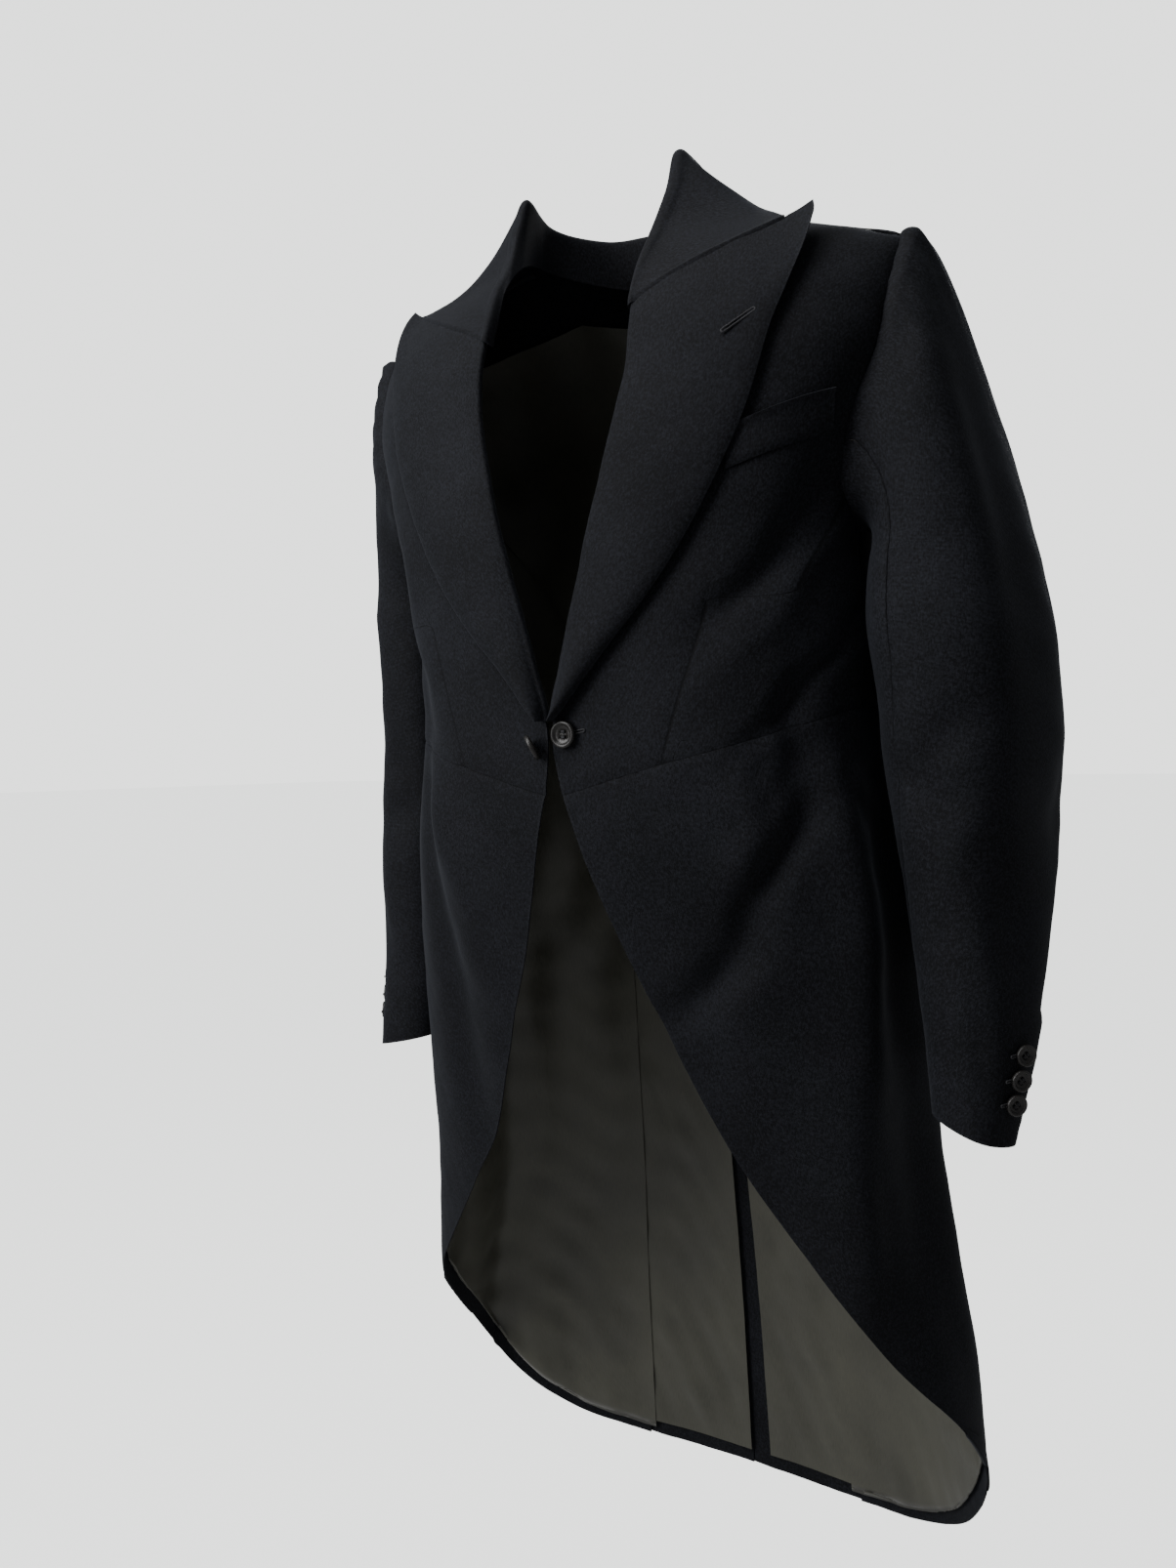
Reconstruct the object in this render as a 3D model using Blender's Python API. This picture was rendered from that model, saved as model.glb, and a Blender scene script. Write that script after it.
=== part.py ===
"""Morning coat, worn form, hollow: black wool walls, linings where they show, horn buttons.

The frame is the wearer's: +X is the wearer's left, -Y the front, +Z up, in metres. The origin is the
middle of the neck at the height where collar and shoulder seam meet. Every cloth piece is a wall of
real thickness, laid out between its own seams on one body surface, which the section table gives.
"""
import math
from collections import namedtuple

import bmesh
import bpy
import numpy as np
from mathutils import Vector

# Driving dimensions
CLOTH = 0.0022            # coating with its canvas and pressed edges
THIN_CLOTH = 0.0016       # skirts, sleeves and tails, without canvas
LINING = 0.0010
SEAM_GAP = 0.0003
LINING_GAP = 0.0009
HEM_BAND = 0.013          # width of wool turned in round skirts and tails

NECK_HALF_WIDTH = 0.078
SHOULDER_HALF_WIDTH = 0.229
SHOULDER_DROP = 0.051
SHOULDER_FORWARD = 0.012
NECK_RISE = 0.030
SHOULDER_ROUND = 0.120    # height over which chest and back round over to the shoulder
SQUARENESS = 0.04

HEM_BACK = -1.080

LINK_BUTTON = 0.020       # diameters
CUFF_BUTTON = 0.015
WAIST_BUTTON = 0.020
LARGE_BUTTON_THICK = 0.0040
SMALL_BUTTON_THICK = 0.0034
BUTTON_CLEAR = 0.0005     # under the link's left button
LINK = {"left": (0.013, -0.389), "right": (0.013, -0.393)}    # distance out and height
LINK_THREAD = 0.0008      # radius of the bar
# The right link button stands on its edge, turned away from the closing by the thread
LINK_RIGHT_CENTRE = (-0.0090, -0.1240, -0.397)
LINK_RIGHT_FACING = (-0.74, -0.48, -0.48)
CUFF_BUTTON_AT = (0.899, 0.9265, 0.953)     # shares of the sleeve's length
CUFF_BUTTON_TURN = 14.0   # from the hind seam
CUFF_BUTTON_CLEAR = 0.00225
CUFF_BUTTON_SHANK = 0.00122
WAIST_BUTTON_AT = (0.045, -0.384)
WAIST_BUTTON_SHANK = 0.0018
WAIST_BUTTON_CLEAR = 0.0026

WELT_CLEAR = 0.0006
WELT_CLOTH = 0.0011
WELT_IN = 0.140           # distance out of its inner and outer end
WELT_OUT = 0.1985
WELT_TOP_IN = -0.186
WELT_TOP_OUT = -0.1625
WELT_HEIGHT = 0.029
WELT_LEAN = 0.004

SKIRT_LINING_DROP = 0.0010    # below the waist seam
SKIRT_LINING_GAP = 0.00265
BACK_LINING_DROP = 0.030      # below the collar seam
LINING_SHORT = 0.0006         # how far a lining stops short of its seam
BACK_LINING_FOOT = 0.0015     # and the back's, over the waist

Section = namedtuple("Section", "height half_width side_y front_y back_y")
BODY_SECTIONS = [
    Section(0.060, 0.236, 0.000, -0.100, 0.104),
    Section(-0.050, 0.236, 0.000, -0.100, 0.106),
    Section(-0.120, 0.232, 0.000, -0.108, 0.113),
    Section(-0.180, 0.214, 0.000, -0.117, 0.114),
    Section(-0.240, 0.197, 0.000, -0.121, 0.108),
    Section(-0.310, 0.187, 0.000, -0.119, 0.095),
    Section(-0.385, 0.180, 0.000, -0.117, 0.086),
    Section(-0.450, 0.188, 0.002, -0.113, 0.100),
    Section(-0.550, 0.204, 0.014, -0.091, 0.128),
    Section(-0.650, 0.216, 0.035, -0.067, 0.148),
    Section(-0.780, 0.229, 0.058, -0.040, 0.168),
    Section(-0.940, 0.249, 0.072, -0.030, 0.188),
    Section(-1.100, 0.256, 0.080, -0.025, 0.202),
]

# Front edge of the forepart: the fold of the lapel, then the cut edge below the link
EdgePoint = namedtuple("EdgePoint", "height out")
FOLD_LINE = [
    EdgePoint(0.000, 0.0780),
    EdgePoint(-0.018, 0.0670),
    EdgePoint(-0.055, 0.0660),
    EdgePoint(-0.118, 0.0670),
    EdgePoint(-0.207, 0.0500),
    EdgePoint(-0.245, 0.0400),
    EdgePoint(-0.339, 0.0130),
    EdgePoint(-0.376, 0.0035),
    EdgePoint(-0.395, 0.0022),
    EdgePoint(-0.433, 0.0075),
]
LAPEL_EDGE = [
    EdgePoint(-0.0395, 0.1730),
    EdgePoint(-0.0460, 0.1765),
    EdgePoint(-0.0600, 0.1775),
    EdgePoint(-0.0900, 0.1725),
    EdgePoint(-0.1200, 0.1645),
    EdgePoint(-0.1490, 0.1575),
    EdgePoint(-0.1790, 0.1480),
    EdgePoint(-0.2070, 0.1360),
    EdgePoint(-0.2630, 0.1060),
    EdgePoint(-0.3050, 0.0740),
    EdgePoint(-0.3400, 0.0420),
    EdgePoint(-0.3700, 0.0160),
]

# Seams given by the angle round the body, 0 at the centre front and 180 at the centre back
SeamPoint = namedtuple("SeamPoint", "height angle")
ARMHOLE_FRONT = [
    SeamPoint(-0.051, 78.0),
    SeamPoint(-0.085, 73.0),
    SeamPoint(-0.130, 70.5),
    SeamPoint(-0.180, 70.5),
    SeamPoint(-0.220, 74.5),
    SeamPoint(-0.246, 85.0),
]
UNDERARM_SEAM = [
    SeamPoint(-0.246, 85.0),
    SeamPoint(-0.310, 84.0),
    SeamPoint(-0.374, 83.0),
]
ARMHOLE_BACK = [
    SeamPoint(-0.051, 102.0),
    SeamPoint(-0.085, 109.0),
    SeamPoint(-0.130, 113.0),
    SeamPoint(-0.170, 114.0),
]
BACK_SEAM = [
    SeamPoint(-0.170, 114.0),
    SeamPoint(-0.205, 125.0),
    SeamPoint(-0.260, 140.0),
    SeamPoint(-0.330, 153.0),
    SeamPoint(-0.383, 161.0),
]
PLEAT_LINE = [
    SeamPoint(-0.383, 161.0),
    SeamPoint(-0.550, 159.0),
    SeamPoint(-0.760, 158.0),
    SeamPoint(-1.079, 158.0),
]
CUTAWAY = [
    SeamPoint(-0.433, 2.1),
    SeamPoint(-0.478, 5.4),
    SeamPoint(-0.544, 10.5),
    SeamPoint(-0.616, 17.1),
    SeamPoint(-0.698, 25.4),
    SeamPoint(-0.771, 37.3),
    SeamPoint(-0.845, 54.4),
    SeamPoint(-0.892, 73.0),
    SeamPoint(-0.925, 92.0),
]
TAIL_HEM = [
    SeamPoint(-0.925, 92.0),
    SeamPoint(-0.968, 102.5),
    SeamPoint(-1.017, 116.0),
    SeamPoint(-1.054, 132.0),
    SeamPoint(-1.073, 146.0),
    SeamPoint(-1.079, 158.0),
]
# The waist seam rises from the front to the side and dips a little to the back button
WAIST_SEAM = [
    SeamPoint(-0.433, 2.1),
    SeamPoint(-0.4125, 24.0),
    SeamPoint(-0.395, 49.0),
    SeamPoint(-0.384, 66.0),
    SeamPoint(-0.374, 83.0),
    SeamPoint(-0.372, 115.0),
    SeamPoint(-0.383, 161.0),
]

# The largest folds, each along a line from its top to its foot: side 1 left, -1 right; depth outwards
Fold = namedtuple("Fold", "side top_height top_angle foot_height foot_angle half_width depth")
FOLDS = [
    Fold(1, -0.225, 66.0, -0.325, 36.0, 8.0, -0.0040),
    Fold(1, -0.325, 76.0, -0.390, 52.0, 8.0, -0.0040),
    Fold(1, -0.370, 60.0, -0.440, 60.0, 9.0, -0.0045),
    Fold(1, -0.450, 58.0, -0.590, 22.0, 9.0, -0.0075),
    Fold(1, -0.400, 72.0, -0.800, 50.0, 12.0, 0.0045),
    Fold(1, -0.430, 84.0, -0.800, 78.0, 12.0, -0.0060),
    Fold(1, -0.450, 128.0, -1.060, 122.0, 12.0, -0.0050),
    Fold(1, -0.285, 95.0, -0.660, 95.0, 38.0, 0.0100),
    Fold(1, -0.310, 95.0, -0.560, 95.0, 38.0, 0.0120),
    Fold(1, -0.272, 97.0, -0.290, 97.0, 26.0, 0.0070),
    Fold(-1, -0.300, 58.0, -0.400, 40.0, 9.0, -0.0022),
    Fold(-1, -0.400, 50.0, -0.720, 30.0, 10.0, -0.0045),
    Fold(-1, -0.410, 74.0, -0.860, 66.0, 13.0, 0.0045),
    Fold(-1, -0.440, 98.0, -0.940, 96.0, 11.0, -0.0055),
    Fold(-1, -0.470, 136.0, -1.060, 130.0, 11.0, -0.0045),
]
FOLD_FADE = 0.05          # length over which a fold dies away at its ends

# Sleeves: plan centre and half sizes of each section, and its turn about the vertical
SleeveSection = namedtuple("SleeveSection", "height out back half_out half_back turn")
LEFT_SLEEVE = [
    SleeveSection(-0.272, 0.2555, 0.031, 0.046, 0.081, 0),
    SleeveSection(-0.335, 0.2570, 0.036, 0.0535, 0.088, 0),
    SleeveSection(-0.395, 0.2590, 0.040, 0.054, 0.086, -3),
    SleeveSection(-0.450, 0.2625, 0.034, 0.047, 0.074, -8),
    SleeveSection(-0.510, 0.2670, 0.020, 0.040, 0.056, -14),
    SleeveSection(-0.594, 0.2710, -0.002, 0.0325, 0.0345, -22),
    SleeveSection(-0.654, 0.2680, -0.010, 0.0245, 0.0215, -26),
]
RIGHT_SLEEVE = [
    SleeveSection(-0.272, 0.2420, 0.062, 0.046, 0.072, 0),
    SleeveSection(-0.335, 0.2430, 0.068, 0.046, 0.072, 0),
    SleeveSection(-0.395, 0.2460, 0.072, 0.045, 0.071, 0),
    SleeveSection(-0.450, 0.2500, 0.070, 0.043, 0.068, 0),
    SleeveSection(-0.510, 0.2530, 0.060, 0.039, 0.060, 0),
    SleeveSection(-0.594, 0.2540, 0.046, 0.034, 0.046, -6),
    SleeveSection(-0.655, 0.2570, 0.032, 0.031, 0.036, -10),
]
CUFF_SLANT = 0.016        # the hind side of the cuff hangs lower than the front
FORE_SEAM = 118.0         # angles round the sleeve, 0 outwards, 90 to the front
HIND_SEAM = -62.0
CUFF_TWIST = {"left": 42.0, "right": 62.0}    # how far the seams come forward, elbow to cuff
SleeveFold = namedtuple("SleeveFold", "side height turn half_height half_width depth")
SLEEVE_FOLDS = [
    SleeveFold("left", -0.240, 28.0, 0.110, 16.0, -0.0035),
    SleeveFold("left", -0.525, 26.0, 0.045, 20.0, -0.0045),
    SleeveFold("left", -0.440, -20.0, 0.050, 22.0, -0.0035),
    SleeveFold("right", -0.280, 34.0, 0.090, 18.0, -0.0035),
    SleeveFold("right", -0.500, -6.0, 0.050, 22.0, -0.0040),
]

# The collar from the nape (0) round the neck to the gorge (1): the fold between stand and fall, and
# the fall's edge, out from the middle and below the shoulder line
CollarStation = namedtuple("CollarStation", "at fold_out fold_back fold_height edge_out edge_drop")
COLLAR = [
    CollarStation(0.00, 0.0000, 0.071, 0.038, 0.000, 0.048),
    CollarStation(0.22, 0.0470, 0.049, 0.034, 0.052, 0.022),
    CollarStation(0.45, 0.0720, 0.000, 0.036, 0.108, 0.004),
    CollarStation(0.60, 0.0665, -0.036, 0.044, 0.126, 0.002),
    CollarStation(0.68, 0.0690, -0.047, 0.019, 0.133, 0.004),
    CollarStation(0.79, 0.0665, -0.063, -0.017, 0.142, 0.008),
    CollarStation(0.91, 0.0665, -0.089, -0.055, 0.151, 0.013),
    CollarStation(1.00, 0.0665, -0.101, -0.083, 0.1585, 0.0189),
]
COLLAR_CLOTH = 0.0017
# The collar's turn over its fold, and how the same rows roll over the front edge at the gorge
CollarTurn = namedtuple("CollarTurn", "out rise down")
COLLAR_TURN = [
    CollarTurn(0.0010, 0.0014, 0.0),
    CollarTurn(0.0040, 0.0, 0.0),
    CollarTurn(0.0070, 0.0, 0.0018),
]
COLLAR_OUT, COLLAR_DOWN = 0.0088, 0.0060
GorgeRoll = namedtuple("GorgeRoll", "inward out")
GORGE_ROLL = [
    GorgeRoll(0.0044, -0.0050),
    GorgeRoll(0.0046, -0.0020),
    GorgeRoll(0.0044, 0.0006),
    GorgeRoll(0.0038, 0.0024),
    GorgeRoll(0.0026, 0.0034),
    GorgeRoll(0.0012, 0.0036),
]
GORGE_HEIGHT = -0.085
NOTCH = (0.1585, 0.0189)   # distance out, and drop below the shoulder line
LAPEL_COLUMNS = 8
LAPEL_ROWS = 15
LAPEL_CLEAR = 0.0006      # under the lapel at the fold
LAPEL_ROLL = 0.0035       # how far the lapel bows off the chest, at the top
LAPEL_ROLL_FOOT = 0.0045  # and how much more at its foot
LAPEL_EDGE_LIFT = 0.0022  # how far its outer edge stands off
PEAK_LIFT = 0.0130        # and how much more at the peak
COLLAR_STATIONS = 13      # on each half
COLLAR_CLEAR = 0.0072     # of the collar's outside over the coat
COLLAR_EDGE_LIFT = 0.0044
FALL_BOW = 0.004          # how far the fall bows up between fold and edge
FALL_DIP = 0.009          # and how far it dips where it lies on the shoulder
FALL_DIP_AT = 0.55
FALL_DIP_REACH = 0.12
FALL_OUT = 0.003          # how far it bows outwards
FOOT_IN = 0.0044          # the stand's foot, inside the neckline
FOOT_DOWN = 0.0025
GORGE_BLEND_FROM = 0.74   # share of the way round where the collar starts to lie down to the gorge

SLEEVE_CLEAR = 0.0016     # outside the armhole seam
HEAD_DRAWN_IN = {"left": 0.067, "right": 0.0}    # share of the head's length, at its outside
HEAD_AWAY, HEAD_CROWN, HEAD_FORWARD, HEAD_RISE = 0.10, 0.045, 0.06, 0.072    # pull of the head's curve
HEAD_END_OUT, HEAD_END_DOWN = 0.14, 0.53                                     # and at its foot
SLEEVE_HEAD = 0.26        # share of the sleeve's length that its head takes
CUFF_START = -0.52        # height from which the cuff slants
SLEEVE_GAP_TURN = 0.12    # half of the seam gap, seen as a turn round the sleeve
SLEEVE_ROWS = 20
ROW_CROWDING = 1.4        # over 1 puts more rows into the head
TWIST_FROM = 0.55


def smooth(rows, key, column):
    """A smooth, never overshooting curve through one column of a table, read at any key."""
    knots = sorted((getattr(row, key), getattr(row, column)) for row in rows)
    xs = np.array([k for k, _ in knots])
    ys = np.array([v for _, v in knots], float)
    step = np.diff(xs)
    slope = np.diff(ys) / step
    tangent = np.empty(len(xs))
    tangent[0], tangent[-1] = slope[0], slope[-1]
    for i in range(1, len(xs) - 1):
        same = slope[i - 1] * slope[i] > 0
        weight = step[i - 1] + step[i]
        tangent[i] = 3 * weight / ((2 * step[i] + step[i - 1]) / slope[i - 1]
                                   + (step[i] + 2 * step[i - 1]) / slope[i]) if same else 0.0

    def read(at):
        at = min(max(at, xs[0]), xs[-1])
        i = min(int(np.searchsorted(xs, at, side="right")) - 1, len(step) - 1)
        t = (at - xs[i]) / step[i]
        a = (1 + 2 * t) * (1 - t) ** 2 * ys[i] + t * (1 - t) ** 2 * step[i] * tangent[i]
        b = t * t * (3 - 2 * t) * ys[i + 1] + t * t * (t - 1) * step[i] * tangent[i + 1]
        return float(a + b)
    return read


half_width = smooth(BODY_SECTIONS, "height", "half_width")
side_y = smooth(BODY_SECTIONS, "height", "side_y")
front_y = smooth(BODY_SECTIONS, "height", "front_y")
back_y = smooth(BODY_SECTIONS, "height", "back_y")


def across(angle):
    """Share of the half width at an angle, on a slightly squared oval."""
    a = math.radians(angle)
    return (math.sin(a) + SQUARENESS * math.sin(3 * a)) / (1 - SQUARENESS)


def along(angle):
    a = math.radians(angle)
    return (math.cos(a) - SQUARENESS * math.cos(3 * a)) / (1 - SQUARENESS)


def shoulder_line(x):
    """Height and depth of the shoulder seam over a distance from the middle."""
    reach = (abs(x) - NECK_HALF_WIDTH) / (SHOULDER_HALF_WIDTH - NECK_HALF_WIDTH)
    t = min(max(reach, 0.0), 1.05)
    neck = max(0.0, 1 - (x / NECK_HALF_WIDTH) ** 2)
    return NECK_RISE * neck ** 2 - SHOULDER_DROP * t * (0.8 + 0.2 * t), -SHOULDER_FORWARD * t


def fold_depth(angle, z, side):
    """How far the folds of one side move the cloth outwards."""
    total = 0.0
    for fold in FOLDS:
        if fold.side != side or not fold.foot_height - FOLD_FADE < z < fold.top_height + FOLD_FADE:
            continue
        share = (fold.top_height - z) / (fold.top_height - fold.foot_height)
        line = fold.top_angle + (fold.foot_angle - fold.top_angle) * share
        near = min(1.0, (fold.top_height + FOLD_FADE - z) / (2 * FOLD_FADE),
                   (z - fold.foot_height + FOLD_FADE) / (2 * FOLD_FADE))
        fade = near * near * (3 - 2 * near)
        total += fold.depth * math.exp(-((angle - line) / fold.half_width) ** 2) * fade
    return total


def body(angle, z, side=0):
    """Point of the body surface at an angle and height, on the left (1), the right (-1) or unfolded (0)."""
    x = half_width(z) * across(angle)
    c = along(angle)
    middle = side_y(z)
    full = middle + c * (front_y(z) - middle) if c > 0 else middle - c * (back_y(z) - middle)
    top, seam_y = shoulder_line(x)
    h = min(max((top - z) / SHOULDER_ROUND, 0.0), 1.0)
    k = math.sqrt(1 - (1 - h) ** 2)
    depth = fold_depth(angle, z, side) if side else 0.0
    a = math.radians(angle)
    return Vector((x + depth * math.sin(a), seam_y * (1 - k) + full * k - depth * math.cos(a), z))


def angle_at(x, z):
    """Angle in the front half where the body surface at a height reaches a distance out."""
    low, high = 0.0, 90.0
    target = x / half_width(z)
    for _ in range(40):
        mid = (low + high) / 2
        if across(mid) < target:
            low = mid
        else:
            high = mid
    return (low + high) / 2


def outward(angle, z, side=0):
    """Outward direction of the body surface."""
    low_z, high_z = z - 0.002, z + 0.0002
    along_ring = body(angle + 0.2, z, side) - body(angle - 0.2, z, side)
    top = shoulder_line(body(angle, z).x)[0]
    if top - z < 0.0005:
        return Vector((0.10 if angle < 180 else -0.10, 0, 1)).normalized()
    up = body(angle, min(high_z, top), side) - body(angle, low_z, side)
    return along_ring.cross(up).normalized()


def seam(rows, count):
    """Points (angle, height) along a seam table, evenly spaced in its own length."""
    column = rows[0]._fields[1]
    read = smooth(rows, "height", column)
    first, last = rows[0].height, rows[-1].height
    fine = [first + (last - first) * i / 200 for i in range(201)]

    def angle(z):
        return angle_at(read(z), z) if column == "out" else read(z)
    dense = [body(angle(z), z) for z in fine]
    run = np.concatenate([[0], np.cumsum([(b - a).length for a, b in zip(dense, dense[1:])])])
    heights = np.interp(np.linspace(0, run[-1], count), run, fine)
    return [(angle(z), float(z)) for z in heights]


waist = smooth(WAIST_SEAM, "angle", "height")


def shoulder_points(first_x, last_x, count, back):
    """Points (angle, height) along the shoulder seam, on the front or the back."""
    points = []
    for i in range(count):
        x = first_x + (last_x - first_x) * i / (count - 1)
        z = shoulder_line(x)[0] - 0.0000002
        angle = angle_at(x, z)
        points.append((180 - angle if back else angle, z))
    return points


def patch(left, right, top, bottom, stretch=(0.0033, 1)):
    """Grid of (angle, height) inside four borders, each a list of points, corner to corner."""
    n, m = len(top) - 1, len(left) - 1
    left, right, top, bottom = (np.array(side, float) for side in (left, right, top, bottom))

    def share(line):
        run = np.concatenate([[0], np.cumsum(np.linalg.norm(np.diff(line * stretch, axis=0), axis=1))])
        return run / run[-1]
    g = (share(left) + share(right)) / 2
    f = (share(top) + share(bottom)) / 2
    grid = []
    for j in range(m + 1):
        row = []
        for i in range(n + 1):
            a, b = f[i], g[j]
            ruled = (1 - a) * left[j] + a * right[j] + (1 - b) * top[i] + b * bottom[i]
            corners = ((1 - a) * (1 - b) * top[0] + a * (1 - b) * top[-1]
                       + (1 - a) * b * bottom[0] + a * b * bottom[-1])
            row.append(tuple(ruled - corners))
        grid.append(row)
    return grid


# Scene and materials
for old in list(bpy.data.objects):
    bpy.data.objects.remove(old, do_unlink=True)

coat = bpy.data.collections.new("morning_coat")
bpy.context.scene.collection.children.link(coat)


def material(name, colour, roughness, metallic=0.0):
    made = bpy.data.materials.new(name)
    made.use_nodes = True
    shader = made.node_tree.nodes["Principled BSDF"]
    shader.inputs["Base Color"].default_value = (*colour, 1)
    shader.inputs["Roughness"].default_value = roughness
    shader.inputs["Metallic"].default_value = metallic
    made.diffuse_color = (*colour, 1)
    return made


WOOL = ((0.020, 0.021, 0.025), 0.85)
SATEEN = ((0.085, 0.080, 0.060), 0.55)
HORN = ((0.030, 0.024, 0.020), 0.30)
THREAD = ((0.015, 0.015, 0.017), 0.80)


def add_object(name, mesh_data, finish):
    """Put a bmesh into the coat's collection under its own name, with its own material."""
    bmesh.ops.recalc_face_normals(mesh_data, faces=mesh_data.faces)
    if mesh_data.calc_volume(signed=True) < 0:
        bmesh.ops.reverse_faces(mesh_data, faces=mesh_data.faces)
    mesh = bpy.data.meshes.new(name)
    mesh_data.to_mesh(mesh)
    mesh_data.free()
    made = bpy.data.objects.new(name, mesh)
    mesh.materials.append(material(name, *finish))
    coat.objects.link(made)
    return made


def wall(name, outer, inner, finish):
    """Closed wall between two grids of points, outer and inner, of the same size."""
    rows, columns = len(outer), len(outer[0])
    made = bmesh.new()
    for points in (outer, inner):
        grid = bmesh.ops.create_grid(made, x_segments=columns - 1, y_segments=rows - 1, size=0.5)["verts"]
        for vert in grid:
            i = round((vert.co.x + 0.5) * (columns - 1))
            j = round((0.5 - vert.co.y) * (rows - 1))
            vert.co = points[j][i]
    border = [edge for edge in made.edges if edge.is_boundary]
    bmesh.ops.bridge_loops(made, edges=border)
    bmesh.ops.triangulate(made, faces=made.faces)
    return add_object(name, made, finish)


def lay(grid, lift=0.0, mirror=1):
    """Points of a grid of (angle, height), lifted off the body surface."""
    rows = []
    for row in grid:
        line = []
        for angle, z in row:
            p = body(angle, z, mirror) + outward(angle, z, mirror) * lift
            line.append(Vector((p.x * mirror, p.y, p.z)))
        rows.append(line)
    return rows


SIDES = (("left", 1), ("right", -1))
HALF_GAP = SEAM_GAP / 2
GAP_ANGLE = 0.06          # half of the seam gap, seen as an angle round the body


def shifted(points, angle=0.0, height=0.0):
    return [(a + angle, z + height) for a, z in points]


ARM_ROWS = 9
SIDE_ROWS = 9
ARMHOLE_BACK_ROWS = 7


def forepart():
    """Front of the bodice, from the fold of the lapel to the underarm seam."""
    columns = 10
    outer = shifted(seam(ARMHOLE_FRONT, ARM_ROWS)[:-1] + seam(UNDERARM_SEAM, SIDE_ROWS), -GAP_ANGLE)
    top = shoulder_points(NECK_HALF_WIDTH, SHOULDER_HALF_WIDTH, columns, back=False)
    outer[0] = top[-1]
    inner = seam(FOLD_LINE, len(outer))
    inner[0] = top[0]
    bottom = [(a, waist(a) + HALF_GAP) for a in np.linspace(inner[-1][0], outer[-1][0], columns)]
    inner[-1], outer[-1] = bottom[0], bottom[-1]
    return patch(inner, outer, top, bottom)


def side_body():
    columns = 6
    front = shifted(seam(UNDERARM_SEAM, SIDE_ROWS), GAP_ANGLE)
    back = shifted(seam(BACK_SEAM, SIDE_ROWS), -GAP_ANGLE)
    bottom = [(a, waist(a) + HALF_GAP) for a in np.linspace(front[-1][0], back[-1][0], columns)]
    top = []
    for i in range(columns):
        t = i / (columns - 1)
        angle = front[0][0] + (back[0][0] - front[0][0]) * t
        z = front[0][1] + (back[0][1] - front[0][1]) * t ** 1.8
        top.append((angle, z))
    front[-1], back[-1] = bottom[0], bottom[-1]
    return patch(front, back, top, bottom)


def back_panel():
    """Back and tail in one piece, from the nape to the hem."""
    neck_columns, shoulder_columns = 3, 6
    nape = (180 - GAP_ANGLE, -0.006)
    shoulder = shoulder_points(NECK_HALF_WIDTH, SHOULDER_HALF_WIDTH, shoulder_columns, back=True)
    top = [nape]
    for i in range(1, neck_columns):
        t = i / neck_columns
        x = NECK_HALF_WIDTH * t
        z = nape[1] + (shoulder[0][1] - nape[1]) * t ** 2
        top.append((180 - angle_at(x, z), z))
    top += shoulder
    tail_rows = 13
    bodice_side = seam(ARMHOLE_BACK, ARMHOLE_BACK_ROWS)[:-1] + seam(BACK_SEAM, SIDE_ROWS)[:-1]
    outer = shifted(bodice_side + seam(PLEAT_LINE, tail_rows), GAP_ANGLE)
    outer[0] = top[-1]
    run = np.cumsum([0] + [(body(*b) - body(*a)).length for a, b in zip(outer, outer[1:])])
    inner = [(nape[0], float(nape[1] + (HEM_BACK - nape[1]) * share)) for share in run / run[-1]]
    bottom = []
    for i in range(len(top)):
        t = i / (len(top) - 1)
        bottom.append((inner[-1][0] + (outer[-1][0] - inner[-1][0]) * t,
                       inner[-1][1] + (outer[-1][1] - inner[-1][1]) * t ** 1.5))
    return patch(inner, outer, top, bottom)


def skirt():
    """Skirt from the cut edge round the side to the pleat, hanging from the waist seam."""
    rows = 11
    pleat = shifted(seam(PLEAT_LINE, rows), -GAP_ANGLE)
    edge = seam(CUTAWAY, rows)
    above = forepart()[-1] + side_body()[-1][1:]
    top = [(a, waist(a) - HALF_GAP) for a, _ in above]
    hem = seam(TAIL_HEM, len(top))
    edge[0], pleat[0] = top[0], top[-1]
    edge[-1] = hem[0]
    hem[-1] = pleat[-1]
    return patch(edge, pleat, top, hem)


def inset(line, width):
    """A line of (angle, height) moved square to itself on the body, to the side the back lies on."""
    places = [body(*p) for p in line]
    moved_line = []
    for i, (angle, z) in enumerate(line):
        run = places[min(i + 1, len(line) - 1)] - places[max(i - 1, 0)]
        step = run.cross(outward(angle, z)).normalized() * -width
        degree = body(angle + 1, z) - body(angle, z)
        moved_line.append((angle + step.dot(degree) / degree.length_squared, z + step.z))
    return moved_line


def skirt_lining():
    """The skirt less the wool turned in along its cut edge and hem."""
    grid = skirt()
    edge = [row[0] for row in grid]
    hem = grid[-1]
    drawn_in = inset(edge + hem[1:], HEM_BAND)
    left, bottom = drawn_in[:len(edge)], drawn_in[len(edge) - 1:]
    pleat = shifted([row[-1] for row in grid], -0.2, 0)
    first = left[0][0]
    top = [(a, waist(a) - SKIRT_LINING_DROP) for a in np.linspace(first, pleat[0][0], len(hem))]
    left[0], pleat[0] = top[0], top[-1]
    bottom[-1] = (pleat[-1][0], hem[-1][1] + HEM_BAND)
    pleat[-1] = bottom[-1]
    return patch(left, pleat, top, bottom)


FOREPART = forepart()
SIDE_BODY = side_body()
BACK = back_panel()
SKIRT = skirt()
SKIRT_LINING = skirt_lining()


def body_pieces():
    """The four cut pieces of each side."""
    plan = (("forepart", FOREPART, CLOTH), ("side_body", SIDE_BODY, CLOTH),
            ("back", BACK, THIN_CLOTH), ("skirt", SKIRT, THIN_CLOTH))
    for side, mirror in SIDES:
        for name, grid, thickness in plan:
            wall(f"{name}_{side}", lay(grid, 0, mirror), lay(grid, -thickness, mirror), WOOL)


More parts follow.
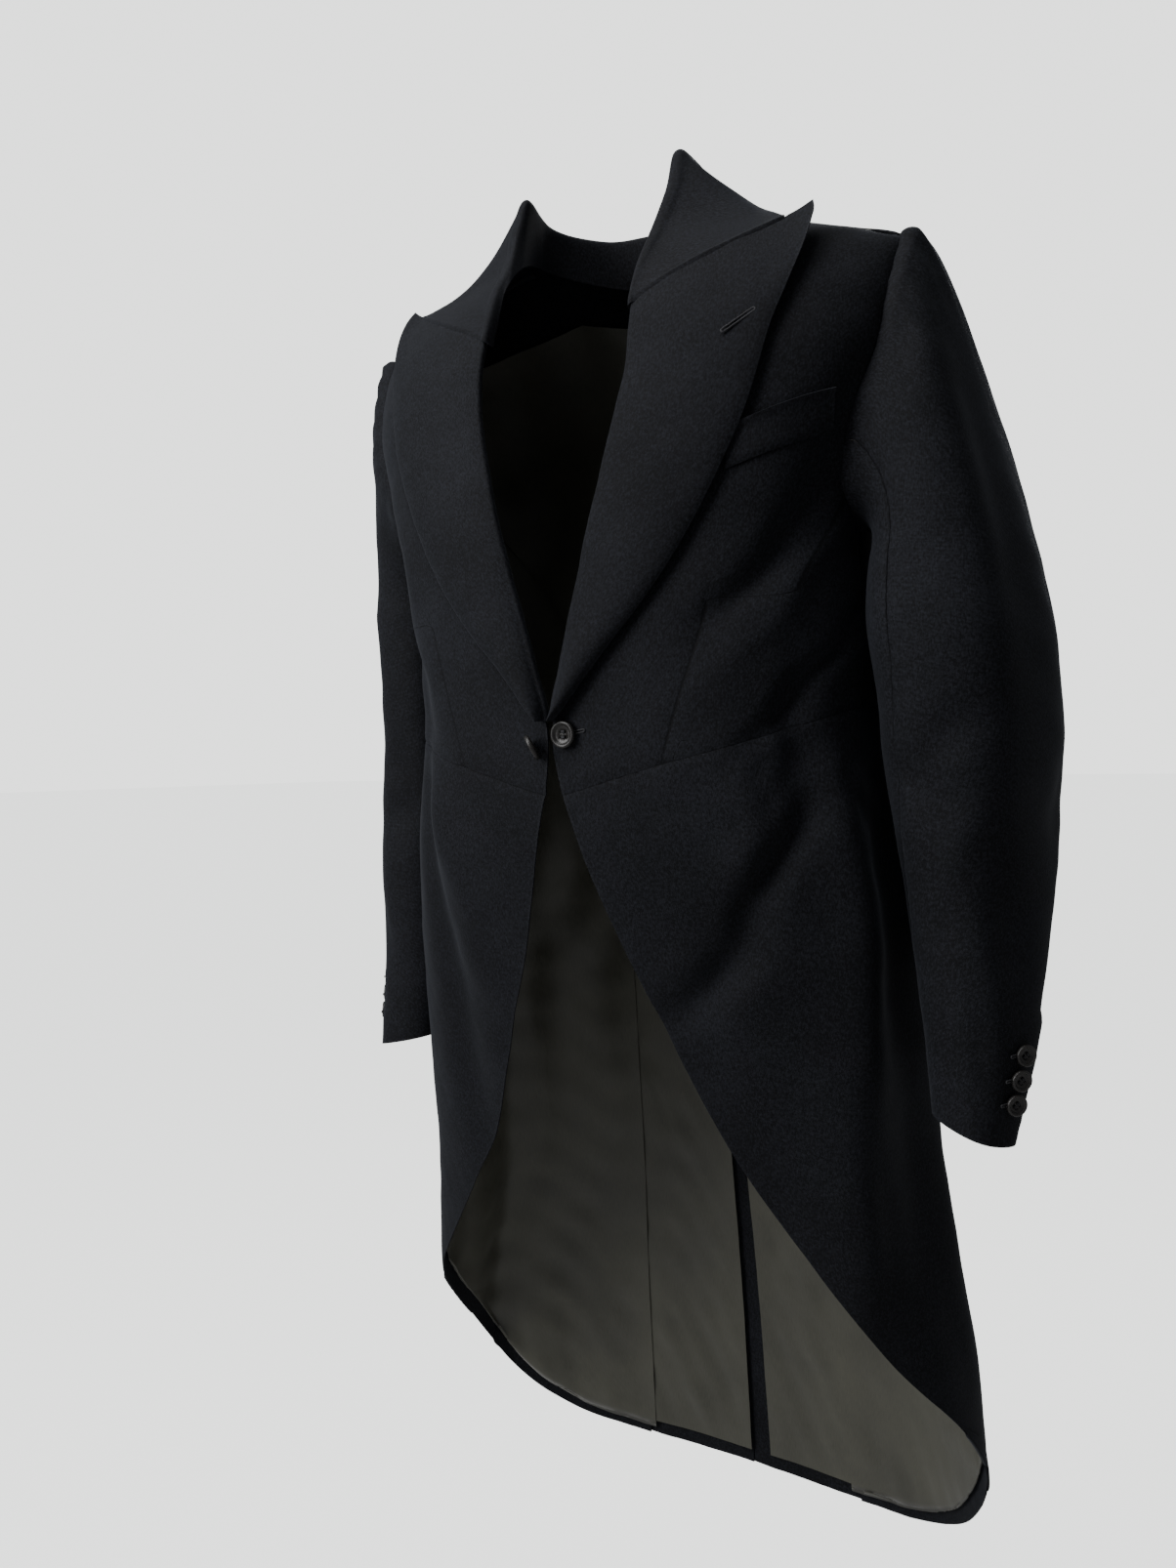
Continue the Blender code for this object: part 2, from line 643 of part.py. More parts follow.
def trimmed(points, first_row, first_column, last_row, last_column):
    """A grid of points with its borders drawn in by a width in metres, along its own lines."""
    def cut_rows(rows, width):
        if width <= 0:
            return rows
        moved = []
        left_over = [width] * len(rows[0])
        start = 0
        while all((b - a).length < need for a, b, need in zip(rows[start], rows[start + 1], left_over)):
            left_over = [need - (b - a).length for a, b, need in zip(rows[start], rows[start + 1], left_over)]
            start += 1
        for a, b, need in zip(rows[start], rows[start + 1], left_over):
            span = (b - a).length
            moved.append(a.lerp(b, min(max(need / span, 0.02), 0.98)))
        return [moved] + rows[start + 1:]
    points = cut_rows(points, first_row)
    points = cut_rows(points[::-1], last_row)[::-1]
    turned = [list(column) for column in zip(*points)]
    turned = cut_rows(turned, first_column)
    turned = cut_rows(turned[::-1], last_column)[::-1]
    return [list(column) for column in zip(*turned)]


def linings():
    """Linings where they show: inside the back, the tails and the skirts."""
    depth = THIN_CLOTH + LINING_GAP
    waist_row = ARMHOLE_BACK_ROWS + SIDE_ROWS - 2
    upper, tail = BACK[:waist_row + 1], BACK[waist_row:]
    faces = []
    for lift in (-depth, -depth - LINING):
        halves = [trimmed(lay(upper, lift, mirror), BACK_LINING_DROP, 0.0, LINING_SHORT, BACK_LINING_FOOT)
                  for mirror in (-1, 1)]
        faces.append([right[:0:-1] + [Vector((0, left[0].y, left[0].z))] + left[1:]
                      for right, left in zip(*halves)])
    wall("back_lining", faces[0], faces[1], SATEEN)
    for side, mirror in SIDES:
        vent_band = HEM_BAND if side == "left" else LINING_SHORT
        outer, inner = (trimmed(lay(tail, lift, mirror), LINING_SHORT, vent_band, HEM_BAND, LINING_SHORT)
                        for lift in (-depth, -depth - LINING))
        wall(f"tail_lining_{side}", outer, inner, SATEEN)
        top = THIN_CLOTH + SKIRT_LINING_GAP
        outer, inner = (lay(SKIRT_LINING, lift, mirror) for lift in (-top, -top - LINING))
        wall(f"skirt_lining_{side}", outer, inner, SATEEN)


def armhole(mirror):
    """The armhole as one closed line of points, from the shoulder tip round the front."""
    front = [body(a, z, mirror) for a, z in seam(ARMHOLE_FRONT, 40)]
    front[0] = body(*shoulder_points(NECK_HALF_WIDTH, SHOULDER_HALF_WIDTH, 3, back=False)[-1])
    under = [body(a, z, mirror) for a, z in SIDE_BODY[0]]
    back = [body(a, z, mirror) for a, z in reversed(seam(ARMHOLE_BACK, 40))]
    loop = front + under[1:] + back[1:]
    loop[-1] = loop[0]
    run = np.concatenate([[0], np.cumsum([(b - a).length for a, b in zip(loop, loop[1:])])])
    coords = np.array([tuple(p) for p in loop])

    def at(turn):
        share = (turn % 360) / 360 * run[-1]
        return Vector([float(np.interp(share, run, coords[:, k])) for k in range(3)])
    return at


ARMHOLES = {side: armhole(mirror) for side, mirror in SIDES}


def sleeve_surface(table, side):
    """Point of a sleeve at a turn round it and a share of its length."""
    columns = {name: smooth(table, "height", name) for name in SleeveSection._fields[1:]}
    top, bottom = table[0].height, table[-1].height
    folds = [fold for fold in SLEEVE_FOLDS if fold.side == side]
    hind = HIND_SEAM + CUFF_TWIST[side]

    def ring(turn, z):
        a = math.radians(turn)
        fx = (math.cos(a) - SQUARENESS * math.cos(3 * a)) / (1 - SQUARENESS)
        fy = (math.sin(a) + SQUARENESS * math.sin(3 * a)) / (1 - SQUARENESS)
        depth = sum(fold.depth * math.exp(-((turn - fold.turn) / fold.half_width) ** 2
                                          - ((z - fold.height) / fold.half_height) ** 2) for fold in folds)
        x = (columns["half_out"](z) + depth) * fx
        y = -(columns["half_back"](z) + depth) * fy
        t = math.radians(columns["turn"](z))
        cuff = max(0.0, (z - CUFF_START) / (bottom - CUFF_START))
        slant = -CUFF_SLANT * cuff ** 2 * (0.5 + 0.5 * math.cos(math.radians(turn - hind)))
        return Vector((columns["out"](z) + x * math.cos(t) - y * math.sin(t),
                       columns["back"](z) + x * math.sin(t) + y * math.cos(t), z + slant))

    def point(turn, share):
        if share >= SLEEVE_HEAD:
            return ring(turn, top + (bottom - top) * (share - SLEEVE_HEAD) / (1 - SLEEVE_HEAD))
        start = ARMHOLES[side](turn)
        end = ring(turn, top)
        s = share / SLEEVE_HEAD
        a = math.radians(turn)
        crown = 0.5 + 0.5 * math.cos(a)
        reach = (end - start).length
        outside = HEAD_AWAY + HEAD_CROWN * crown - HEAD_DRAWN_IN[side] * max(0.0, math.cos(a)) ** 2
        away = Vector((outside, -HEAD_FORWARD * math.sin(a), HEAD_RISE * crown)) * reach
        down = Vector((-HEAD_END_OUT * math.cos(a), 0, HEAD_END_DOWN)) * reach
        p1, p2 = start + away, end + down
        return (start * (1 - s) ** 3 + p1 * 3 * s * (1 - s) ** 2 + p2 * 3 * s * s * (1 - s) + end * s ** 3)
    return point


def sleeve_grid(point, first_turn, last_turn, columns, rows, lift, mirror, cuff_twist):
    grid = []
    for j in range(rows):
        share = (j / (rows - 1)) ** ROW_CROWDING
        twist = cuff_twist * max(0.0, (share - TWIST_FROM) / (1 - TWIST_FROM)) ** 1.5
        line_points = []
        for i in range(columns):
            turn = first_turn + twist + (last_turn - first_turn) * i / (columns - 1)
            p = point(turn, share)
            e = 0.004
            across_it = point(turn + 1, share) - point(turn - 1, share)
            down_it = point(turn, min(share + e, 1)) - point(turn, max(share - e, 0))
            n = down_it.cross(across_it).normalized()
            q = p + n * lift + Vector((SLEEVE_CLEAR, 0, 0))
            line_points.append(Vector((q.x * mirror, q.y, q.z)))
        grid.append(line_points)
    return grid


def sleeves():
    rows, gap = SLEEVE_ROWS, SLEEVE_GAP_TURN
    for (side, mirror), table in zip(SIDES, (LEFT_SLEEVE, RIGHT_SLEEVE)):
        point = sleeve_surface(table, side)
        turn_in = CUFF_TWIST[side]
        plan = (("top_sleeve", HIND_SEAM + gap, FORE_SEAM - gap, 12),
                ("under_sleeve", FORE_SEAM + gap, 360 + HIND_SEAM - gap, 11))
        for name, first, last, columns in plan:
            outer = sleeve_grid(point, first, last, columns, rows, 0, mirror, turn_in)
            inner = sleeve_grid(point, first, last, columns, rows, -THIN_CLOTH, mirror, turn_in)
            wall(f"{name}_{side}", outer, inner, WOOL)


def normals(points):
    """Unit directions square to a grid of points, out of the side its rows and columns face."""
    rows, columns = len(points), len(points[0])
    found = []
    for j in range(rows):
        line = []
        for i in range(columns):
            a = points[j][min(i + 1, columns - 1)] - points[j][max(i - 1, 0)]
            b = points[min(j + 1, rows - 1)][i] - points[max(j - 1, 0)][i]
            line.append(a.cross(b).normalized())
        found.append(line)
    return found


def moved(points, lift):
    """A grid of points moved along its own normals."""
    return [[p + n * lift for p, n in zip(row, dirs)] for row, dirs in zip(points, normals(points))]


def mirrored(points, mirror):
    return [[Vector((p.x * mirror, p.y, p.z)) for p in row] for row in points]


def lapel_lift(across_share, down_share):
    """Clear height of the lapel's under side over the chest, at a share of its width and length."""
    roll = LAPEL_ROLL + LAPEL_ROLL_FOOT * down_share ** 2
    bow = max(0.0, 4 * across_share * (1 - across_share)) ** 0.7
    edge = LAPEL_EDGE_LIFT + PEAK_LIFT * max(0.0, 1 - down_share / 0.30) ** 2 * across_share ** 6
    return LAPEL_CLEAR + roll * bow + edge * across_share


def lapel_grid():
    """The lapel in (distance out, height), from the gorge down to the link."""
    fold = smooth(FOLD_LINE, "height", "out")
    edge = smooth(LAPEL_EDGE, "height", "out")
    last = LAPEL_EDGE[-1].height
    inner = [(fold(z), z) for z in np.linspace(GORGE_HEIGHT, last, LAPEL_ROWS)]
    outer = [(edge(z), z) for z in np.linspace(LAPEL_EDGE[0].height, last, LAPEL_ROWS)]
    notch = (NOTCH[0], shoulder_line(NOTCH[0])[0] - NOTCH[1])
    gorge_columns = LAPEL_COLUMNS - 1
    top = [tuple(np.array(inner[0]) + (np.array(notch) - inner[0]) * i / (gorge_columns - 1))
           for i in range(gorge_columns)]
    top.append(outer[0])
    bottom = [tuple(np.array(inner[-1]) + (np.array(outer[-1]) - inner[-1]) * i / (LAPEL_COLUMNS - 1))
              for i in range(LAPEL_COLUMNS)]
    grid = patch(inner, outer, top, bottom, stretch=(1, 1))
    faces = []
    for lift in (CLOTH, 0.0):
        rows = []
        for j, row in enumerate(grid):
            line = []
            for i, (x, z) in enumerate(row):
                angle = angle_at(x, z)
                clear = lapel_lift(i / (LAPEL_COLUMNS - 1), j / (LAPEL_ROWS - 1)) + lift
                line.append(body(angle, z) + outward(angle, z) * clear)
            rows.append(line)
        faces.append(rows)
    return faces


LAPEL = lapel_grid()


def lapels():
    for side, mirror in SIDES:
        wall(f"lapel_{side}", mirrored(LAPEL[0], mirror), mirrored(LAPEL[1], mirror), WOOL)


def neckline():
    """Where the collar is sewn, from the nape (0) over the neck point to the gorge (1)."""
    back = [body(a, z) for a, z in BACK[0][:4]]
    fold = smooth(FOLD_LINE, "height", "out")
    front = [body(angle_at(fold(z), z), z) for z in np.linspace(-0.002, GORGE_HEIGHT, 30)]
    points = np.array([tuple(p) for p in back + front])
    run = np.concatenate([[0], np.cumsum(np.linalg.norm(np.diff(points, axis=0), axis=1))])
    return lambda at: Vector([float(np.interp(at * run[-1], run, points[:, k])) for k in range(3)])


def collar():
    """Stand and fall in one folded wall, from notch to notch round the neck."""
    columns = {name: smooth(COLLAR, "at", name) for name in CollarStation._fields[1:]}
    sewn = neckline()
    gorge, gorge_under = (face[0][:LAPEL_COLUMNS - 1] for face in LAPEL)
    up = Vector((0, 0, 1))
    half = []
    for k in range(COLLAR_STATIONS):
        at = k / (COLLAR_STATIONS - 1)
        n = sewn(at)
        x = columns["edge_out"](at)
        z = shoulder_line(x)[0] - columns["edge_drop"](at)
        angle = angle_at(x, z) if at > 0.5 else 180 - angle_at(x, z)
        lift = COLLAR_EDGE_LIFT + 0.002 * max(0.0, at - 0.5)
        e = body(angle, z) + outward(angle, z) * lift
        top = Vector([columns[name](at) for name in ("fold_out", "fold_back", "fold_height")])
        w = Vector((e.x - top.x, e.y - top.y, 0)).normalized() if k else Vector((0, 1, 0))
        foot = n - w * FOOT_IN - up * FOOT_DOWN
        rise = (top - foot).normalized()
        stand = [foot, foot.lerp(top, 0.5), top - rise * 0.0050]
        stand += [top + w * turn.out - rise * turn.rise - up * turn.down for turn in COLLAR_TURN]
        out = top + w * COLLAR_OUT - up * COLLAR_DOWN
        if at > 0.5:
            stand[3:] = [clear_of_body(p, False) for p in stand[3:]]
        fall = []
        dip = FALL_BOW - FALL_DIP * math.exp(-((at - FALL_DIP_AT) / FALL_DIP_REACH) ** 2)
        for i in range(len(gorge)):
            share = i / (len(gorge) - 1)
            bow = math.sin(math.pi * share)
            fall.append(clear_of_body(out.lerp(e, share) + (w * FALL_OUT + up * dip) * bow, at < 0.5))
        front = body(angle_at(n.x, n.z), n.z)
        face = outward(angle_at(n.x, n.z), n.z)
        side = (gorge[-1] - gorge[0]).normalized()
        laid = [front - side * roll.inward + face * roll.out for roll in GORGE_ROLL]
        laid += [p + gorge_gap(i, gorge, gorge_under) for i, p in enumerate(gorge)]
        blend = max(0.0, (at - GORGE_BLEND_FROM) / (1 - GORGE_BLEND_FROM))
        blend = blend * blend * (3 - 2 * blend)
        half.append([a.lerp(b, blend) for a, b in zip(stand + fall, laid)])
    right = [[Vector((-p.x, p.y, p.z)) for p in station] for station in half[:0:-1]]
    whole = right + half
    outer = [list(row) for row in zip(*whole)]
    inner = moved(outer, -COLLAR_CLOTH)
    for i, p in enumerate(gorge_under):
        q = p + gorge_gap(i, gorge, gorge_under)
        inner[len(stand) + i][-1] = q
        inner[len(stand) + i][0] = Vector((-q.x, q.y, q.z))
    wall("collar", outer, inner, WOOL)


def clear_of_body(p, back):
    """The same place, brought out over the coat's body where it would sink into it."""
    top = shoulder_line(p.x)[0]
    if p.z > top - 0.001:
        return p
    angle = angle_at(p.x, p.z)
    angle = 180 - angle if back else angle
    free = body(angle, p.z) + outward(angle, p.z) * COLLAR_CLEAR
    if (free.y > p.y) if back else (free.y < p.y):
        return Vector((p.x, free.y, p.z))
    return p


def gorge_gap(i, over, under):
    """The seam gap at one point of the gorge, square to the lapel's upper edge and to its thickness."""
    first, last = max(i - 1, 0), min(i + 1, len(over) - 1)
    away = (over[i] - under[i]).cross(over[last] - over[first]).normalized()
    return away * (SEAM_GAP + 0.0001) * (1 if away.z > 0 else -1)


def welt():
    """Breast welt of the left forepart, sewn down on three sides under the lapel's edge."""
    columns, rows = 6, 2
    faces = []
    for lift in (WELT_CLEAR + WELT_CLOTH, WELT_CLEAR):
        face = []
        for j in range(rows):
            line = []
            for i in range(columns):
                t = i / (columns - 1)
                x = WELT_IN + (WELT_OUT - WELT_IN) * t
                z = WELT_TOP_IN + (WELT_TOP_OUT - WELT_TOP_IN) * t - WELT_HEIGHT * j / (rows - 1)
                angle = angle_at(x - WELT_LEAN * j / (rows - 1), z)
                line.append(body(angle, z) + outward(angle, z) * lift)
            face.append(line)
        faces.append(face)
    wall("breast_welt", faces[0], faces[1], WOOL)


def button(name, centre, facing, diameter, thickness, shank=0.0):
    """A horn button: a turned disc with a raised rim and a hollow middle, on a thread shank."""
    r = diameter / 2
    profile = [(0.0, thickness * 0.62), (r * 0.62, thickness * 0.62), (r * 0.80, thickness),
               (r * 0.94, thickness * 0.92), (r, thickness * 0.55), (r * 0.86, 0.0)]
    if shank:
        profile += [(r * 0.22, 0.0), (r * 0.22, -shank)]
    profile.append((0.0, -shank))
    made = bmesh.new()
    verts = [made.verts.new((x, 0, z)) for x, z in profile]
    edges = [made.edges.new(pair) for pair in zip(verts, verts[1:])]
    bmesh.ops.spin(made, geom=verts + edges, cent=(0, 0, 0), axis=(0, 0, 1), angle=math.tau,
                   steps=14, use_merge=True)
    bmesh.ops.remove_doubles(made, verts=made.verts, dist=0.00001)
    turn = Vector((0, 0, 1)).rotation_difference(facing)
    for vert in made.verts:
        vert.co = turn @ vert.co + centre
    return add_object(name, made, HORN)


def on_body(angle, z, lift, mirror):
    """Place and outward direction of something laid on the coat's body."""
    facing = outward(angle, z, mirror)
    p = body(angle, z, mirror) + facing * lift
    return Vector((p.x * mirror, p.y, p.z)), Vector((facing.x * mirror, facing.y, facing.z))


def link():
    """Two buttons at the closing, joined behind the cloth by a bar of thread."""
    x, z = LINK["left"]
    centre, facing = on_body(angle_at(x, z), z, BUTTON_CLEAR, 1)
    button("link_button_left", centre, facing, LINK_BUTTON, LARGE_BUTTON_THICK)
    button("link_button_right", Vector(LINK_RIGHT_CENTRE), Vector(LINK_RIGHT_FACING).normalized(),
           LINK_BUTTON, LARGE_BUTTON_THICK)
    ends = [on_body(angle_at(LINK[side][0], LINK[side][1]), LINK[side][1],
                    -CLOTH - BUTTON_CLEAR - LINK_THREAD, mirror)[0] for side, mirror in SIDES]
    made = bmesh.new()
    along_bar = ends[1] - ends[0]
    bmesh.ops.create_cone(made, cap_ends=True, segments=8, radius1=LINK_THREAD, radius2=LINK_THREAD,
                          depth=along_bar.length)
    turn = Vector((0, 0, 1)).rotation_difference(along_bar.normalized())
    middle = (ends[0] + ends[1]) / 2
    for vert in made.verts:
        vert.co = turn @ vert.co + middle
    bmesh.ops.triangulate(made, faces=made.faces)
    add_object("link_thread", made, THREAD)


def cuff_buttons():
    """Three to a sleeve, in front of the hind seam."""
    for (side, mirror), table in zip(SIDES, (LEFT_SLEEVE, RIGHT_SLEEVE)):
        point = sleeve_surface(table, side)
        turn = HIND_SEAM + CUFF_TWIST[side] + CUFF_BUTTON_TURN
        for k, share in enumerate(CUFF_BUTTON_AT):
            p = point(turn, share) + Vector((SLEEVE_CLEAR, 0, 0))
            round_it = point(turn + 1, share) - point(turn - 1, share)
            down_it = point(turn, share + 0.004) - point(turn, share - 0.004)
            facing = down_it.cross(round_it).normalized()
            centre = p + facing * CUFF_BUTTON_CLEAR
            button(f"cuff_button_{side}_{k + 1}", Vector((centre.x * mirror, centre.y, centre.z)),
                   Vector((facing.x * mirror, facing.y, facing.z)), CUFF_BUTTON, SMALL_BUTTON_THICK,
                   CUFF_BUTTON_SHANK)


def waist_buttons():
    for side, mirror in SIDES:
        z = WAIST_BUTTON_AT[1]
        centre, facing = on_body(180 - angle_at(WAIST_BUTTON_AT[0], z), z, WAIST_BUTTON_CLEAR, mirror)
        button(f"waist_button_{side}", centre, facing, WAIST_BUTTON, LARGE_BUTTON_THICK, WAIST_BUTTON_SHANK)


body_pieces()
linings()
sleeves()
lapels()
collar()
welt()
link()
cuff_buttons()
waist_buttons()
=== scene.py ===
import math
from collections import namedtuple

import bmesh
import bpy
import numpy as np
from mathutils import Matrix, Vector


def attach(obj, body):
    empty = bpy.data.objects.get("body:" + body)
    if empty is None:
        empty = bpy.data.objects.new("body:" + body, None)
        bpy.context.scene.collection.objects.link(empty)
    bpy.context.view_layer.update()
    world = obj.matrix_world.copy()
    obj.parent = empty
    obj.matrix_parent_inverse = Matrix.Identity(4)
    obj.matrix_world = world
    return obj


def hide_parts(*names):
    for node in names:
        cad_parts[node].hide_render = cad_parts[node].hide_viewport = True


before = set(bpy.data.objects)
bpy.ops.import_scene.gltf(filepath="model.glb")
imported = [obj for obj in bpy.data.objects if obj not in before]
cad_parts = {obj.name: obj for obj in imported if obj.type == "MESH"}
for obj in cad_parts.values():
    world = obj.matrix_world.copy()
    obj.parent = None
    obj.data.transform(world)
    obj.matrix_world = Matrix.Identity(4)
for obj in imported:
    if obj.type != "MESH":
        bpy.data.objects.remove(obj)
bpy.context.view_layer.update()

# Studio
# The coat hangs at its worn height over a plain pale floor, lit by wide soft lamps. The strongest
# stands in front of its right side, and the camera looks at the left front from waist height.
azimuth, elevation, roll = (math.radians(degrees) for degrees in (33.0, 1.1, -1.1))
AIM_RIGHT, AIM_HEIGHT, CAMERA_AWAY = -0.037, -0.427, 0.975
backward = Vector((math.sin(azimuth) * math.cos(elevation), -math.cos(azimuth) * math.cos(elevation),
                   math.sin(elevation)))
rightward = Vector((math.cos(azimuth), math.sin(azimuth), 0))
upward = backward.cross(rightward)
aim = Vector((AIM_RIGHT * math.cos(azimuth), AIM_RIGHT * math.sin(azimuth), AIM_HEIGHT))
eye = aim + backward * CAMERA_AWAY
turned_right = rightward * math.cos(roll) + upward * math.sin(roll)
turned_up = upward * math.cos(roll) - rightward * math.sin(roll)
camera_data = bpy.data.cameras.new("camera")
camera_data.sensor_width = 36.0
camera_data.lens = 27.8
camera_data.clip_start = 0.02
camera = bpy.data.objects.new("camera", camera_data)
bpy.context.scene.collection.objects.link(camera)
for row in range(3):
    for column, line in enumerate((turned_right, turned_up, backward, eye)):
        camera.matrix_world[row][column] = line[row]
bpy.context.scene.camera = camera

Lamp = namedtuple("Lamp", "name turn rise distance width height power")
LAMPS = [
    Lamp("key", -32.0, 22.0, 2.3, 1.0, 1.6, 60.0),
    Lamp("front_fill", 70.0, 20.0, 2.8, 1.6, 2.0, 2.0),
    Lamp("top", -20.0, 66.0, 2.2, 1.3, 1.3, 34.0),
    Lamp("far_side", 125.0, 20.0, 2.6, 1.4, 2.0, 2.0),
    Lamp("behind", 195.0, 34.0, 2.6, 1.6, 1.6, 34.0),
]
LAMP_AIM = Vector((0.0, 0.0, -0.45))
for lamp in LAMPS:
    data = bpy.data.lights.new(lamp.name, "AREA")
    data.shape = "RECTANGLE"
    data.size, data.size_y = lamp.width, lamp.height
    data.energy = lamp.power
    made = bpy.data.objects.new(lamp.name, data)
    turn, rise = math.radians(lamp.turn), math.radians(lamp.rise)
    away = Vector((math.sin(turn) * math.cos(rise), -math.cos(turn) * math.cos(rise), math.sin(rise)))
    made.location = LAMP_AIM + away * lamp.distance
    made.rotation_mode = "QUATERNION"
    made.rotation_quaternion = away.to_track_quat("Z", "Y")
    bpy.context.scene.collection.objects.link(made)


class Wire:
    """One socket of a material. Sums on it add Math nodes, and node() adds any other."""

    def __init__(self, tree, socket=None):
        self.tree = tree
        self.socket = socket

    def node(self, kind, settings=(), outlet=0, **inlets):
        made = self.tree.nodes.new("ShaderNode" + kind)
        for key, value in dict(settings).items():
            setattr(made, key, value)
        for key, value in inlets.items():
            socket = made.inputs[int(key[1:])] if key[1:].isdigit() else made.inputs[key.replace("_", " ")]
            if isinstance(value, Wire):
                self.tree.links.new(value.socket, socket)
            else:
                socket.default_value = value
        return Wire(self.tree, made.outputs[outlet])

    def sum(self, operation, first, second=0.0):
        return self.node("Math", {"operation": operation}, i0=first, i1=second)

    def __add__(self, other):
        return self.sum("ADD", self, other)

    __radd__ = __add__

    def __mul__(self, other):
        return self.sum("MULTIPLY", self, other)

    __rmul__ = __mul__

    def __sub__(self, other):
        return self.sum("SUBTRACT", self, other)

    def __rsub__(self, other):
        return self.sum("SUBTRACT", other, self)

    def __truediv__(self, other):
        return self.sum("DIVIDE", self, other)

    def noise(self, scale, detail, **more):
        """Noise over the places of this wire."""
        return self.node("TexNoise", Vector=self, Scale=scale, Detail=detail, **more)

    def wave(self):
        return self.sum("SINE", self)

    def bounded(self):
        return self.node("Clamp", Value=self)

    def tint(self, dark, light):
        """Colour between two, by this value from 0 to 1."""
        return self.node("Mix", {"data_type": "RGBA"}, outlet=2, i0=self, i6=(*dark, 1), i7=(*light, 1))


def finish_of(name, **sockets):
    """A new material with its shader's own sockets set, and the wire that starts its nodes."""
    made = bpy.data.materials.new(name)
    made.use_nodes = True
    shader = made.node_tree.nodes["Principled BSDF"]
    for key, value in sockets.items():
        shader.inputs[key.replace("_", " ")].default_value = value
    return made, Wire(made.node_tree), shader


def feed(wire, shader, name):
    wire.tree.links.new(wire.socket, shader.inputs[name])


def feed_bump(wire, shader, strength, distance):
    feed(wire.node("Bump", Strength=strength, Distance=distance, Height=wire), shader, "Normal")


# Floor
# A plain pale floor, 1.5 m below the neck. It reaches 60 m each way, so that its tone nearly meets
# the sky's at the horizon.
FLOOR_HEIGHT, FLOOR_REACH = -1.5, 60.0
floor_material, wire, shader = finish_of("pale_floor", Roughness=0.9, Specular_IOR_Level=0.1,
                                         Emission_Strength=1.88)
speck = wire.node("TexCoord", outlet=3).noise(3.0, 3.0)
feed(speck.tint((0.27, 0.27, 0.265), (0.30, 0.30, 0.295)), shader, "Base Color")
lit = wire.node("LightPath", outlet=0)
feed(lit.tint((0.13, 0.13, 0.13), (1.00, 1.02, 1.005)), shader, "Emission Color")
floor_mesh = bmesh.new()
bmesh.ops.create_grid(floor_mesh, x_segments=8, y_segments=8, size=FLOOR_REACH)
bmesh.ops.translate(floor_mesh, verts=floor_mesh.verts, vec=(0, 0, FLOOR_HEIGHT))
floor_data = bpy.data.meshes.new("floor")
floor_mesh.to_mesh(floor_data)
floor_data.materials.append(floor_material)
floor = bpy.data.objects.new("floor", floor_data)
bpy.context.scene.collection.objects.link(floor)
sky = bpy.data.worlds.new("studio")
sky.use_nodes = True
bpy.context.scene.world = sky
sky_wire = Wire(sky.node_tree)
background = sky.node_tree.nodes["Background"]
seen = sky_wire.node("LightPath", outlet=0)
feed(seen.tint((0.13, 0.133, 0.136), (2.12, 2.15, 2.12)), background, "Color")

# Foreparts
# The fronts of the bodice, black worsted over canvas, each cut in one from the shoulder to the waist
# seam and taken in by a dart under the breast. Beyond the facing their inside is lined.
Section = namedtuple("Section", "height half_width side_y front_y back_y")
BODY_SECTIONS = [
    Section(0.060, 0.236, 0.000, -0.100, 0.104),
    Section(-0.050, 0.236, 0.000, -0.100, 0.106),
    Section(-0.120, 0.232, 0.000, -0.108, 0.113),
    Section(-0.180, 0.214, 0.000, -0.117, 0.114),
    Section(-0.240, 0.197, 0.000, -0.121, 0.108),
    Section(-0.310, 0.187, 0.000, -0.119, 0.095),
    Section(-0.385, 0.180, 0.000, -0.117, 0.086),
    Section(-0.450, 0.188, 0.002, -0.113, 0.100),
    Section(-0.550, 0.204, 0.014, -0.091, 0.128),
    Section(-0.650, 0.216, 0.035, -0.067, 0.148),
    Section(-0.780, 0.229, 0.058, -0.040, 0.168),
    Section(-0.940, 0.249, 0.072, -0.030, 0.188),
    Section(-1.100, 0.256, 0.080, -0.025, 0.202),
]
SQUARENESS = 0.04
NECK_HALF_WIDTH, SHOULDER_HALF_WIDTH = 0.078, 0.229
SHOULDER_DROP, SHOULDER_FORWARD, NECK_RISE, SHOULDER_ROUND = 0.051, 0.012, 0.030, 0.120
Fold = namedtuple("Fold", "side top_height top_angle foot_height foot_angle half_width depth fade")
